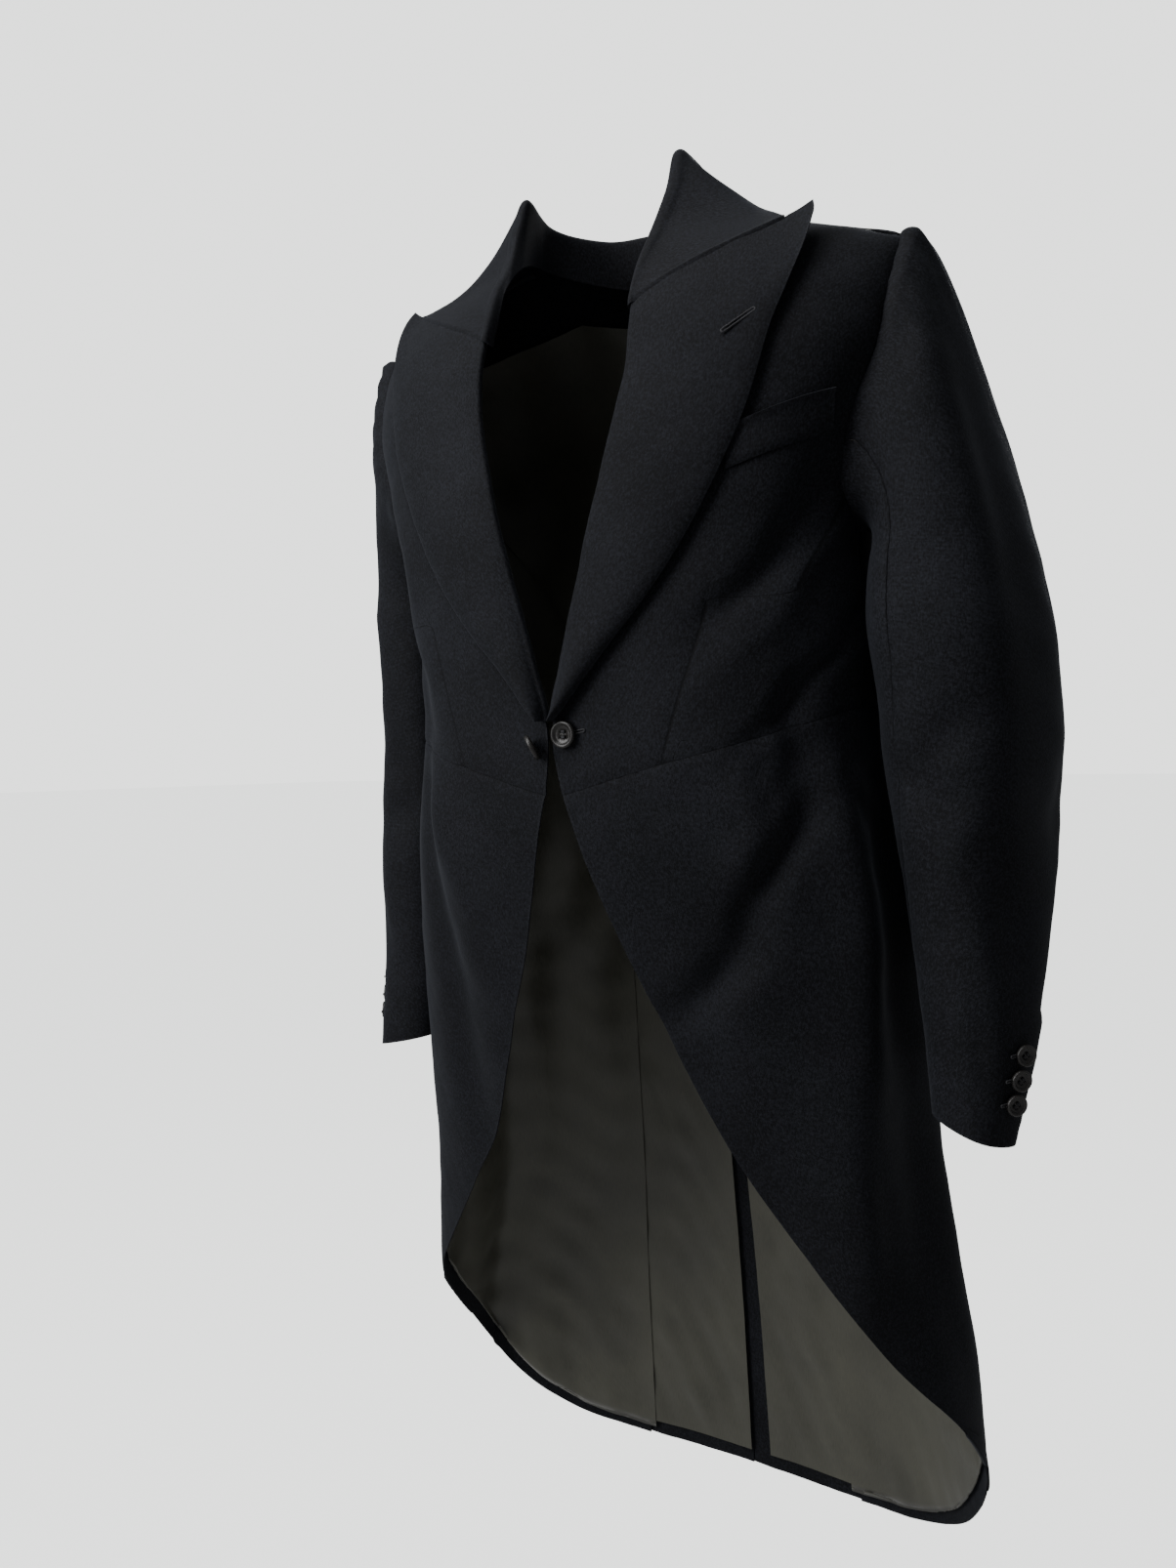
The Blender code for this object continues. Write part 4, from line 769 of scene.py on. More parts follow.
# Linings of the back, tails and skirts
# Sateen felled inside the turned-in edges. It is a little longer than the cloth, so it lies in soft
# wrinkles across and down.
HEM_BAND = 0.013
LINING_WALL = 0.0006
LOOSE, SNUG = 0.0024, 0.0012         # depths of the wrinkles below and above the waist
LOOSE_EASE = 0.02
LINING_STEP = 0.008
TAIL_GAP, SKIRT_GAP, BACK_GAP = 0.0022, 0.0030, 0.0020
LINING_SHORT = 0.001
PLEAT_INSIDE = 1.6        # degrees that the skirt lining runs in behind the pleat
BACK_LINING_DROP = 0.030
MIDDLE_PLEAT, MIDDLE_PLEAT_HALF = 0.0022, 0.006


def wrinkles(points, depth, slant):
    """Soft crossing wrinkles of loose lining."""
    x, y, z = points[..., 0], points[..., 1], points[..., 2]
    a = np.sin(78 * x + 52 * y + slant * z + 1.7 * np.sin(21 * z + 2.0))
    b = np.sin(150 * z + 60 * x + 2.2 * np.sin(33 * y + 1.1))
    c = np.sin(231 * x - 170 * y + 95 * z)
    return depth * (0.6 * a * abs(a) + 0.4 * b * (0.5 + 0.5 * a) + 0.22 * c)


def drawn_in(points, top, left, bottom):
    """The places inside borders drawn in by widths in metres."""
    u, v = runs(points)
    rows, columns = points.shape[:2]
    middle_row, middle_column = rows // 2, columns // 2
    i = np.nonzero(u[middle_row] >= left)[0]
    j = np.nonzero((v[:, middle_column] >= top) & (v[-1, middle_column] - v[:, middle_column] >= bottom))[0]
    return points[j[0]:j[-1] + 1, i[0]:]


def lining(stem, side, mirror, points, slant):
    n = square_to(points, mirror < 0)
    u, v = runs(points)
    inside = np.minimum.reduce([u, u[:, -1:] - u, v, v[-1:] - v])
    points = points + n * (wrinkles(points, LOOSE, slant) * np.clip(inside / LOOSE_EASE, 0, 1))[..., None]
    sheet_of(stem, side, points, mirror < 0, (SATEEN,), LINING_WALL, slot="lining")


def inset(line, width):
    """A line of (angle, height) moved square to itself on the body, to the side the back lies on."""
    angle, z = line.T
    along_line = np.gradient(body(angle, z), axis=0)
    step = np.cross(along_line, outward(angle, z))
    step = step / np.linalg.norm(step, axis=-1, keepdims=True) * -width
    degree = body(angle + 1, z) - body(angle, z)
    turn = (step * degree).sum(-1) / (degree ** 2).sum(-1)
    return np.stack([angle + turn, z + step[:, 2]], 1)


lining_rows, lining_columns = steps(0.66, LINING_STEP), steps(0.34, LINING_STEP)
drawn = inset(np.concatenate([cutaway[1:], hem[1:]]), HEM_BAND)
edge_count = len(cutaway) - 1
inner_edge, inner_hem = drawn[:edge_count], drawn[edge_count - 1:]
inner_pleat = pleat.copy()
inner_pleat[:, 0] += PLEAT_INSIDE
inner_edge[0] = inner_edge[0, 0], waist(inner_edge[0, 0]) - LINING_SHORT
inner_hem[-1] = inner_pleat[-1, 0], hem[-1, 1] + HEM_BAND


def spaced(line, count):
    """The same line with evenly spread points."""
    return read_along(np.linspace(0, len(line) - 1, count), np.arange(len(line)), line)


inner_edge, inner_hem = spaced(inner_edge, lining_rows), spaced(inner_hem, lining_columns)
inner_pleat = spaced(inner_pleat, lining_rows)
inner_top = waist_points(inner_edge[0, 0], inner_pleat[0, 0], lining_columns, -LINING_SHORT)
inner_edge[-1], inner_edge[0] = inner_hem[0], inner_top[0]
inner_pleat[0], inner_pleat[-1] = inner_top[-1], inner_hem[-1]
SKIRT_LINING = patch(inner_edge, inner_pleat, inner_top, inner_hem)
for side, mirror in SIDES:
    vent_band = HEM_BAND if side == "left" else 0.0
    tail = lay(BACK[WAIST_ROW:], mirror, -TAIL_WALL - TAIL_GAP)
    tail = drawn_in(tail, LINING_SHORT, vent_band, HEM_BAND)[::2, ::2]
    lining("tail_lining", side, mirror, tail, 9.0)
    lining("skirt_lining", side, mirror, lay(SKIRT_LINING, mirror, -TAIL_WALL - SKIRT_GAP), -14.0)
halves = [lay(BACK[:WAIST_ROW], mirror, -TAIL_WALL - BACK_GAP) for mirror in (-1, 1)]
whole = np.concatenate([halves[0][:, ::-1], halves[1][:, 1:]], axis=1)
whole = drawn_in(whole, BACK_LINING_DROP, 0.0, 0.0)[::2, ::2]
ease = np.exp(-(whole[..., 0] / MIDDLE_PLEAT_HALF) ** 2) * MIDDLE_PLEAT
whole = whole + square_to(whole, False) * (wrinkles(whole, SNUG, 4.0) + ease)[..., None]
sheet_of("back_lining", "", whole, True, (SATEEN,), LINING_WALL, slot="lining")

# Sleeves
# Two-piece sleeves set into the armholes with a little fullness at the head. The cut bends at the
# elbow, and the hind seam ends in a buttoned vent that laps over the under sleeve.
SleeveSection = namedtuple("SleeveSection", "height out back half_out half_back turn")
SLEEVE_TABLES = {
    "left": [
        SleeveSection(-0.272, 0.2555, 0.031, 0.046, 0.081, 0),
        SleeveSection(-0.335, 0.2570, 0.036, 0.0535, 0.088, 0),
        SleeveSection(-0.395, 0.2590, 0.040, 0.054, 0.086, -3),
        SleeveSection(-0.450, 0.2625, 0.034, 0.047, 0.074, -8),
        SleeveSection(-0.510, 0.2670, 0.020, 0.040, 0.056, -14),
        SleeveSection(-0.594, 0.2710, -0.002, 0.0325, 0.0345, -22),
        SleeveSection(-0.654, 0.2680, -0.010, 0.0245, 0.0215, -26),
    ],
    "right": [
        SleeveSection(-0.272, 0.2420, 0.062, 0.046, 0.072, 0),
        SleeveSection(-0.335, 0.2430, 0.068, 0.046, 0.072, 0),
        SleeveSection(-0.395, 0.2460, 0.072, 0.045, 0.071, 0),
        SleeveSection(-0.450, 0.2500, 0.070, 0.043, 0.068, 0),
        SleeveSection(-0.510, 0.2530, 0.060, 0.039, 0.060, 0),
        SleeveSection(-0.594, 0.2540, 0.046, 0.034, 0.046, -6),
        SleeveSection(-0.655, 0.2570, 0.032, 0.031, 0.036, -10),
    ],
}
# Folds round the sleeve: slant is the degrees that a fold turns forward over its half height
SleeveFold = namedtuple("SleeveFold", "side height turn half_height half_width slant depth")
SLEEVE_FOLDS = [
    SleeveFold("left", -0.240, 28.0, 0.110, 16.0, 4.0, -0.0040),
    SleeveFold("left", -0.130, 62.0, 0.030, 12.0, 16.0, -0.0035),
    SleeveFold("left", -0.525, 26.0, 0.045, 20.0, -14.0, -0.0050),
    SleeveFold("left", -0.440, -20.0, 0.050, 22.0, 10.0, -0.0036),
    SleeveFold("left", -0.400, 84.0, 0.024, 20.0, 10.0, -0.0046),
    SleeveFold("left", -0.432, 92.0, 0.020, 24.0, -12.0, -0.0040),
    SleeveFold("left", -0.470, 70.0, 0.030, 14.0, 12.0, 0.0022),
    SleeveFold("left", -0.330, 2.0, 0.120, 13.0, -6.0, 0.0030),
    SleeveFold("left", -0.600, 52.0, 0.040, 16.0, -8.0, -0.0024),
    SleeveFold("left", -0.290, 142.0, 0.060, 32.0, 4.0, 0.0095),
    SleeveFold("left", -0.360, 230.0, 0.080, 18.0, -9.0, -0.0036),
    SleeveFold("right", -0.280, 34.0, 0.090, 18.0, 5.0, -0.0042),
    SleeveFold("right", -0.150, 58.0, 0.035, 13.0, 12.0, -0.0028),
    SleeveFold("right", -0.500, -6.0, 0.050, 22.0, 9.0, -0.0046),
    SleeveFold("right", -0.410, 88.0, 0.026, 22.0, 12.0, -0.0046),
    SleeveFold("right", -0.450, 96.0, 0.022, 26.0, -10.0, -0.0036),
    SleeveFold("right", -0.560, 60.0, 0.040, 16.0, 8.0, -0.0026),
    SleeveFold("right", -0.340, 156.0, 0.080, 18.0, 7.0, -0.0040),
    SleeveFold("right", -0.390, 236.0, 0.070, 18.0, -8.0, -0.0034),
]
FORE_SEAM, HIND_SEAM = 118.0, -62.0
CUFF_TWIST = {"left": 42.0, "right": 62.0}
CUFF_SLANT, CUFF_START = 0.016, -0.52
SLEEVE_HEAD = 0.26        # share of the sleeve's length that its head takes
# The head curves from the armhole to the sleeve's top ring. It leaves outwards, round and up, and
# reaches the ring from inside and above, by these shares of the distance between the two.
HEAD_OUT, CROWN_OUT, HEAD_ROUND, CROWN_RISE = 0.10, 0.045, 0.06, 0.072
HEAD_DRAWN_IN = {"left": 0.067, "right": 0.0}
FROM_INSIDE, FROM_ABOVE = 0.14, 0.53
SLEEVE_CLEAR, SLEEVE_TUCK, TUCK_SHARE = 0.0016, -0.0030, 0.03
SLEEVE_WALL, SLEEVE_BAND, SLEEVE_STEP = 0.0013, 0.032, 0.0042
TWIST_FROM = 0.55
VENT_FROM, VENT_EASE = 0.855, 0.015
CUFF_LAP = 9.0            # degrees that the vent laps over the under sleeve
ROPE, ROPE_AT, ROPE_HALF = 0.0016, 0.022, 0.020
FULLNESS, FULLNESS_SHARE, FULLNESS_WAVE = 0.0007, 0.05, 0.42
OVER_SEAM = 0.0016        # the cloth stands this far off the drawn surface


def armhole(mirror):
    """The armhole as a closed line of places, from the shoulder tip round the front."""
    front = body(*seam(ARMHOLE_FRONT, 160).T, mirror)
    front[0] = body(*SHOULDER_FRONT[-1])
    under = body(*SIDE_BODY[0].T, mirror)[1:]
    behind = body(*seam(ARMHOLE_BACK, 120)[::-1].T, mirror)[1:]
    loop = np.concatenate([front, under, behind])
    loop[-1] = loop[0]
    run = run_along(loop)
    return lambda turn: read_along((turn % 360) / 360 * run[-1], run, loop)


def sleeve_of(side, mirror):
    """Places on one sleeve at turns round it (0 outwards, 90 to the front) and shares of its length."""
    table = SLEEVE_TABLES[side]
    columns = {name: curve(table, name) for name in SleeveSection._fields[1:]}
    top, bottom = table[0].height, table[-1].height
    hole = armhole(mirror)
    hind = HIND_SEAM + CUFF_TWIST[side]

    def ring(turn, z):
        x, y = columns["half_out"](z) * along(turn), -columns["half_back"](z) * across(turn)
        t = np.radians(columns["turn"](z))
        cuff = np.clip((CUFF_START - z) / (CUFF_START - bottom), 0, 1)
        slant = -CUFF_SLANT * cuff ** 2 * (0.5 + 0.5 * np.cos(np.radians(turn - hind)))
        return np.stack([columns["out"](z) + x * np.cos(t) - y * np.sin(t),
                         columns["back"](z) + x * np.sin(t) + y * np.cos(t), z + slant], -1)

    def places(turn, share):
        turn, share = np.broadcast_arrays(np.asarray(turn, float), np.asarray(share, float))
        lower = ring(turn, top + (bottom - top) * np.clip((share - SLEEVE_HEAD) / (1 - SLEEVE_HEAD), 0, 1))
        start, end = hole(turn), ring(turn, np.full(turn.shape, top))
        s = np.clip(share / SLEEVE_HEAD, 0, 1)[..., None]
        a = np.radians(turn)
        crown = 0.5 + 0.5 * np.cos(a)
        reach = np.linalg.norm(end - start, axis=-1, keepdims=True)
        outside = HEAD_OUT + CROWN_OUT * crown - HEAD_DRAWN_IN[side] * np.maximum(0.0, np.cos(a)) ** 2
        away = np.stack([outside, -HEAD_ROUND * np.sin(a), CROWN_RISE * crown], -1) * reach
        down = np.stack([-FROM_INSIDE * np.cos(a), 0 * a, FROM_ABOVE + 0 * a], -1) * reach
        first, second = start + away, end + down
        head = (start * (1 - s) ** 3 + first * 3 * s * (1 - s) ** 2 + second * 3 * s * s * (1 - s)
                + end * s ** 3)
        found = np.where((share >= SLEEVE_HEAD)[..., None], lower, head)
        tucked = SLEEVE_TUCK + (SLEEVE_CLEAR - SLEEVE_TUCK) * np.clip(share / TUCK_SHARE, 0, 1)
        return found + tucked[..., None] * (1, 0, 0)
    return places


def sleeve_sheet(side, mirror, first, last, lap):
    """Grid of places for one half of a sleeve, with its folds."""
    share = (np.linspace(0, 1, steps(0.68, SLEEVE_STEP)) ** 1.25)[:, None]
    twist = CUFF_TWIST[side] * np.maximum(0.0, (share - TWIST_FROM) / (1 - TWIST_FROM)) ** 1.5
    across_it = np.linspace(0, 1, steps(0.215, SLEEVE_STEP))[None, :]
    vent = np.clip((share - VENT_FROM) / VENT_EASE, 0, 1)
    turn = first + twist + (last - first) * across_it - vent * lap * np.clip(1 - across_it * 6, 0, 1)
    share = np.broadcast_to(share, turn.shape)
    points = sleeve_of(side, mirror)(turn, share)
    n = square_to(points, True)
    z = points[..., 2]
    depth = np.zeros(turn.shape)
    for fold in SLEEVE_FOLDS:
        if fold.side == side:
            reach = (fold.height - z) / fold.half_height
            off = (turn - fold.turn - fold.slant * reach + 180) % 360 - 180
            depth += fold.depth * np.exp(-(off / fold.half_width) ** 2 - reach ** 2)
    crown = np.clip(np.cos(np.radians(turn)), 0, 1)
    rope = ROPE * crown * np.exp(-((share - ROPE_AT) / ROPE_HALF) ** 2)
    ease = np.exp(-((share - FULLNESS_SHARE) / FULLNESS_SHARE) ** 2) * (0.3 + crown)
    ease = FULLNESS * np.sin(turn * FULLNESS_WAVE) * ease
    over = LAP_LIFT * 0.8 * vent * np.clip(1 - across_it * 5, 0, 1) * (lap > 0)
    points = points + n * (depth + rope + ease + over + OVER_SEAM)[..., None]
    return points * (mirror, 1, 1)


for side, mirror in SIDES:
    for stem, first, last, lap in (("top_sleeve", HIND_SEAM, FORE_SEAM, CUFF_LAP),
                                   ("under_sleeve", FORE_SEAM, 360 + HIND_SEAM, 0.0)):
        sheet_of(stem, side, sleeve_sheet(side, mirror, first, last, lap), mirror > 0, (WOOL, WOOL, SATEEN),
                 SLEEVE_WALL, free="b", sewn="tlr", band=SLEEVE_BAND)

# Lapels
# Wide peaked lapels in one with the facing, rolled over the front edge with no pressed fold. They
# stand a few millimetres off the chest and end in a point beyond the notch.
LAPEL_EDGE = [
    EdgePoint(-0.0395, 0.1730),
    EdgePoint(-0.0460, 0.1765),
    EdgePoint(-0.0600, 0.1775),
    EdgePoint(-0.0900, 0.1725),
    EdgePoint(-0.1200, 0.1645),
    EdgePoint(-0.1490, 0.1575),
    EdgePoint(-0.1790, 0.1480),
    EdgePoint(-0.2070, 0.1360),
    EdgePoint(-0.2630, 0.1060),
    EdgePoint(-0.3050, 0.0740),
    EdgePoint(-0.3400, 0.0420),
    EdgePoint(-0.3700, 0.0160),
    EdgePoint(-0.3790, 0.0068),
]
GORGE_HEIGHT = -0.085
NOTCH_OUT, NOTCH_DROP = 0.1585, 0.0189
LAPEL_WALL, ROLL_RADIUS = 0.0012, 0.0030
ROLL_COLUMNS, FACING_COLUMNS = 8, 9
FACING_WIDTH = 0.052
LAPEL_BOW, LAPEL_BOW_FOOT = 0.0035, 0.0045
EDGE_LIFT, PEAK_LIFT, PEAK_SHARE = 0.0022, 0.0130, 0.30
GORGE_SINK, GORGE_HALF_WIDTH = 0.0006, 0.003
LAPEL_STEP = 0.0034
lapel_rows, lapel_columns = steps(0.315, LAPEL_STEP), steps(0.115, LAPEL_STEP)
peak_columns = steps(0.022, LAPEL_STEP)
gorge_columns = lapel_columns - peak_columns + 1


def edge_line(rows, top):
    """Points (out, height) along an edge table, from a height to the lapel's foot."""
    z = np.linspace(top, LAPEL_EDGE[-1].height, lapel_rows)
    return np.stack([curve(rows, "out")(z), z], 1)


lapel_inner, lapel_outer = edge_line(FOLD_LINE, GORGE_HEIGHT), edge_line(LAPEL_EDGE, LAPEL_EDGE[0].height)
notch = np.array([NOTCH_OUT, shoulder_line(np.array(NOTCH_OUT))[0] - NOTCH_DROP])
lapel_top = np.concatenate([np.linspace(lapel_inner[0], notch, gorge_columns),
                            np.linspace(notch, lapel_outer[0], peak_columns)[1:]])
lapel_foot = np.linspace(lapel_inner[-1], lapel_outer[-1], lapel_columns)
LAPEL = patch(lapel_inner, lapel_outer, lapel_top, lapel_foot, stretch=(1, 1))


def lapel_lift(across_share, down_share):
    """How far the lapel's face stands off the chest, at shares of its width and length."""
    roll = LAPEL_BOW + LAPEL_BOW_FOOT * down_share ** 2
    bow = np.maximum(0.0, 4 * across_share * (1 - across_share)) ** 0.7
    tip = EDGE_LIFT + PEAK_LIFT * np.maximum(0.0, 1 - down_share / PEAK_SHARE) ** 2 * across_share ** 6
    return ROLL_RADIUS + roll * bow + tip * across_share


def lapel_places():
    """The lapel from the inner edge of its facing, round the roll, to its outer edge."""
    x, z = LAPEL[..., 0], LAPEL[..., 1]
    angle = angle_at(x, z)
    a = np.linspace(0, 1, lapel_columns)[None, :]
    d = np.linspace(0, 1, lapel_rows)[:, None]
    face = body(angle, z) + outward(angle, z) * lapel_lift(a, d)[..., None]
    base, n = body(angle[:, 0], z[:, 0]), outward(angle[:, 0], z[:, 0])
    run = body(angle[:, 1], z[:, 1]) - base
    run = run - n * (run * n).sum(-1, keepdims=True)
    run = run / np.linalg.norm(run, axis=-1, keepdims=True)
    turn = np.linspace(math.pi, 0, ROLL_COLUMNS + 1)[None, :-1, None]
    roll = base[:, None] + n[:, None] * ROLL_RADIUS * np.cos(turn) - run[:, None] * ROLL_RADIUS * np.sin(turn)
    inward = np.linspace(FACING_WIDTH, 0.004, FACING_COLUMNS)[None, :]
    inner_z = np.broadcast_to(z[:, :1], (lapel_rows, FACING_COLUMNS))
    inner_angle = angle_at(x[:, :1] + inward, inner_z)
    facing = body(inner_angle, inner_z) - outward(inner_angle, inner_z) * ROLL_RADIUS
    return np.concatenate([facing, roll, face], axis=1)


LAPEL_PLACES = lapel_places()
FOLD_COLUMN = FACING_COLUMNS + ROLL_COLUMNS
for side, mirror in SIDES:
    points = LAPEL_PLACES * (mirror, 1, 1)
    u, v = runs(points)
    gorge = np.zeros(points.shape[1])
    gorge[FOLD_COLUMN:FOLD_COLUMN + gorge_columns] = np.linspace(0, 1, gorge_columns) ** 3
    sink = GORGE_SINK * np.exp(-(v / GORGE_HALF_WIDTH) ** 2) * gorge
    points = points - square_to(points, mirror < 0) * sink[..., None]
    sheet_of("lapel", side, points, mirror < 0, (WOOL,), LAPEL_WALL, held="folded", free="r")

# Collar
# Stand and fall in one piece round the neck. The fall turns over the stand in a soft roll and its
# ends are sewn to the lapels along the gorge.
CollarStation = namedtuple("CollarStation", "at fold_out fold_back fold_height edge_out edge_drop")
COLLAR = [
    CollarStation(0.00, 0.0000, 0.071, 0.038, 0.000, 0.048),
    CollarStation(0.22, 0.0470, 0.049, 0.034, 0.052, 0.022),
    CollarStation(0.45, 0.0720, 0.000, 0.036, 0.108, 0.004),
    CollarStation(0.60, 0.0665, -0.036, 0.044, 0.126, 0.002),
    CollarStation(0.68, 0.0690, -0.047, 0.019, 0.133, 0.004),
    CollarStation(0.79, 0.0665, -0.063, -0.017, 0.142, 0.008),
    CollarStation(0.91, 0.0665, -0.089, -0.055, 0.151, 0.013),
    CollarStation(1.00, 0.0665, -0.101, -0.083, 0.1585, 0.0189),
]
# The roll over the top of the stand: how far back down the stand, outwards, and straight down
ROLL = [(0.0050, 0, 0), (0.0014, 0.0010, 0), (0, 0.0040, 0), (0, 0.0070, 0.0018), (0, 0.0088, 0.0060)]
# The stand's points at the collar's front end: how far before the gorge and how far off the coat
END_ROLL = [(0.0044, -0.0050), (0.0046, -0.0020), (0.0044, 0.0006), (0.0038, 0.0024), (0.0026, 0.0034),
            (0.0012, 0.0036)]
COLLAR_WALL, COLLAR_CLEAR = 0.0014, 0.0072
STATIONS, FALL_ROWS = 40, 7
STAND_IN, STAND_DOWN = 0.0044, 0.0025
BRIM_LIFT, BRIM_LIFT_FRONT = 0.0044, 0.002
FALL_BOW, FALL_RISE = 0.003, 0.004
FALL_DIP, DIP_AT, DIP_HALF = 0.009, 0.55, 0.12
END_FROM = 0.74           # share of the neckline from which the collar turns into its front end
TURNING = ((0.0010, 0.0002), (0.0034, 0.0012))       # how far it runs under the lapel, and how deep
collar_curve = {name: curve(COLLAR, name) for name in CollarStation._fields[1:]}
neck_back = body(*BACK[0, :neck_columns].T)
front_z = np.linspace(-0.002, GORGE_HEIGHT, 60)
front_angle = angle_at(curve(FOLD_LINE, "out")(front_z), front_z)
neck_line = np.concatenate([neck_back, body(front_angle, front_z)])
neck_run = run_along(neck_line)


def over_body(p, behind):
    """The same place, brought out over the coat where it would sink into it."""
    if p.z > float(shoulder_line(np.array(p.x))[0]) - 0.001:
        return p
    angle = float(angle_at(p.x, p.z))
    angle = 180 - angle if behind else angle
    free = body(angle, p.z) + outward(np.array(angle), np.array(p.z)) * COLLAR_CLEAR
    if (free[1] > p.y) if behind else (free[1] < p.y):
        return Vector((p.x, free[1], p.z))
    return p


gorge_points = [Vector(place) for place in
                spaced(LAPEL_PLACES[0, FOLD_COLUMN:FOLD_COLUMN + gorge_columns], FALL_ROWS)]
slope = (gorge_points[-1] - gorge_points[0]).normalized()
up = Vector((0, 0, 1))
half = []
for k in range(STATIONS):
    at = k / (STATIONS - 1)
    sewn_to = Vector(read_along(at * neck_run[-1], neck_run, neck_line))
    x = float(collar_curve["edge_out"](at))
    z = float(shoulder_line(np.array(x))[0] - collar_curve["edge_drop"](at))
    angle = float(angle_at(x, z))
    angle = angle if at > 0.5 else 180 - angle
    lift = BRIM_LIFT + BRIM_LIFT_FRONT * max(0.0, at - 0.5)
    brim = Vector(body(angle, z) + outward(np.array(angle), np.array(z)) * lift)
    top = Vector([float(collar_curve[name](at)) for name in ("fold_out", "fold_back", "fold_height")])
    w = Vector((brim.x - top.x, brim.y - top.y, 0)).normalized() if k else Vector((0, 1, 0))
    foot = sewn_to - w * STAND_IN - up * STAND_DOWN
    rise = (top - foot).normalized()
    *roll, turned_out = [top - rise * back + w * out - up * down for back, out, down in ROLL]
    stand = [foot, foot.lerp(top, 0.5)] + roll
    if at > 0.5:
        stand[3:] = [over_body(p, False) for p in stand[3:]]
    dip = FALL_RISE - FALL_DIP * math.exp(-((at - DIP_AT) / DIP_HALF) ** 2)
    fall = []
    for share in np.linspace(0, 1, FALL_ROWS):
        bow = (w * FALL_BOW + up * dip) * math.sin(math.pi * share)
        fall.append(over_body(turned_out.lerp(brim, share) + bow, at < 0.5))
    here = float(angle_at(sewn_to.x, sewn_to.z))
    front = Vector(body(here, sewn_to.z))
    face = Vector(outward(np.array(here), np.array(sewn_to.z)))
    laid = [front - slope * before + face * off for before, off in END_ROLL] + gorge_points
    blend = eased((at - END_FROM) / (1 - END_FROM))
    half.append([a.lerp(b, blend) for a, b in zip(stand + fall, laid)])
ends = np.array([tuple(p) for p in half[-1]])
into_lapel = LAPEL_PLACES[2, FOLD_COLUMN + 4] - LAPEL_PLACES[0, FOLD_COLUMN + 4]
into_lapel = into_lapel / np.linalg.norm(into_lapel)
off_chest = square_to(LAPEL_PLACES, False)[1, FOLD_COLUMN + 4]
for way, under in TURNING:
    half.append([Vector(p) for p in ends + into_lapel * way - off_chest * under])
whole = np.array([[tuple(p) for p in station] for station in half]).transpose(1, 0, 2)
collar_places = np.concatenate([(whole * (-1, 1, 1))[:, :0:-1], whole], axis=1)
sheet_of("collar", "", collar_places, False, (WOOL,), COLLAR_WALL, held="folded", free="b", smooth=2)

# Breast welt
# A slanting welt over the pocket of the left breast, folded along its top and sewn down at its
# lower edge and outer end. Its inner end runs under the lapel.
WELT_IN, WELT_OUT, WELT_TOP_IN, WELT_TOP_OUT, WELT_HEIGHT = 0.140, 0.1985, -0.186, -0.1625, 0.029
WELT_LEAN = 0.004
WELT_LIFT, WELT_ROLL, WELT_SINK, WELT_END = 0.0026, 0.0016, 0.0012, 0.0010
WELT_COLUMNS, WELT_ROWS, WELT_WALL = 26, 13, 0.0012
t = np.linspace(0, 1, WELT_COLUMNS)[None, :]
d = np.linspace(0, 1, WELT_ROWS)[:, None]
welt_x = WELT_IN + (WELT_OUT - WELT_IN) * t - WELT_LEAN * d
welt_z = WELT_TOP_IN + (WELT_TOP_OUT - WELT_TOP_IN) * t - WELT_HEIGHT * d
welt_angle = angle_at(welt_x, welt_z)
swell = WELT_LIFT + WELT_ROLL * np.exp(-(d / 0.12) ** 2) - WELT_SINK * np.exp(-((1 - d) / 0.08) ** 2)
swell = swell + WELT_END * np.exp(-((1 - t) / 0.04) ** 2)
welt_places = body(welt_angle, welt_z, 1) + outward(welt_angle, welt_z, 1) * swell[..., None]
sheet_of("breast_welt", "", welt_places, False, (WOOL,), WELT_WALL, held="folded", free="tr")

# Buttons
# Turned black horn with a raised rim and a dished middle, sewn on through four holes. Two make the
# link, three close each cuff, and two sit at the top of the back pleats.
horn, wire, shader = finish_of("dark_horn", Specular_IOR_Level=0.36, Coat_Weight=0.08, Coat_Roughness=0.28)
place = wire.node("TexCoord", outlet=3)
streak, scratch = place.noise(240.0, 4.0, Distortion=1.2), place.noise(1400.0, 2.0)
feed(streak.tint((0.003, 0.003, 0.003), (0.020, 0.018, 0.017)), shader, "Base Color")
feed((0.33 + streak * 0.16 + (scratch - 0.5) * 0.10).bounded(), shader, "Roughness")
feed_bump(scratch, shader, 0.15, 0.0001)

waxed, wire, shader = finish_of("waxed_thread", Specular_IOR_Level=0.18, Sheen_Weight=0.05)
ply = wire.node("TexCoord", outlet=3).noise(1800.0, 2.0)
feed(ply.tint((0.005, 0.005, 0.006), (0.034, 0.034, 0.039)), shader, "Base Color")
feed((0.55 + (ply - 0.5) * 0.3).bounded(), shader, "Roughness")
feed_bump(ply, shader, 0.5, 0.0002)

# The turned profile from the dish over the rim to the back, as shares of radius and thickness
RIM = [(0.56, 0.50), (0.66, 0.56), (0.74, 0.86), (0.82, 1), (0.91, 0.97), (0.975, 0.80), (1, 0.52),
       (0.96, 0.22), (0.84, 0.04), (0.56, 0.0)]
HOLE_RADIUS, HOLE_OUT, STITCH_RADIUS = 0.115, 0.27, 0.07       # shares of the button's radius
WELD = 0.000002
ButtonPlace = namedtuple("ButtonPlace", "node centre facing diameter thickness shank")


def piece_from(name, made, finish):
    for face in made.faces:
        face.smooth = True
    mesh = bpy.data.meshes.new(name)
    made.to_mesh(mesh)
    made.free()
    mesh.materials.append(finish)
    piece = bpy.data.objects.new(name, mesh)
    bpy.context.scene.collection.objects.link(piece)
    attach(piece, "root")
    return piece


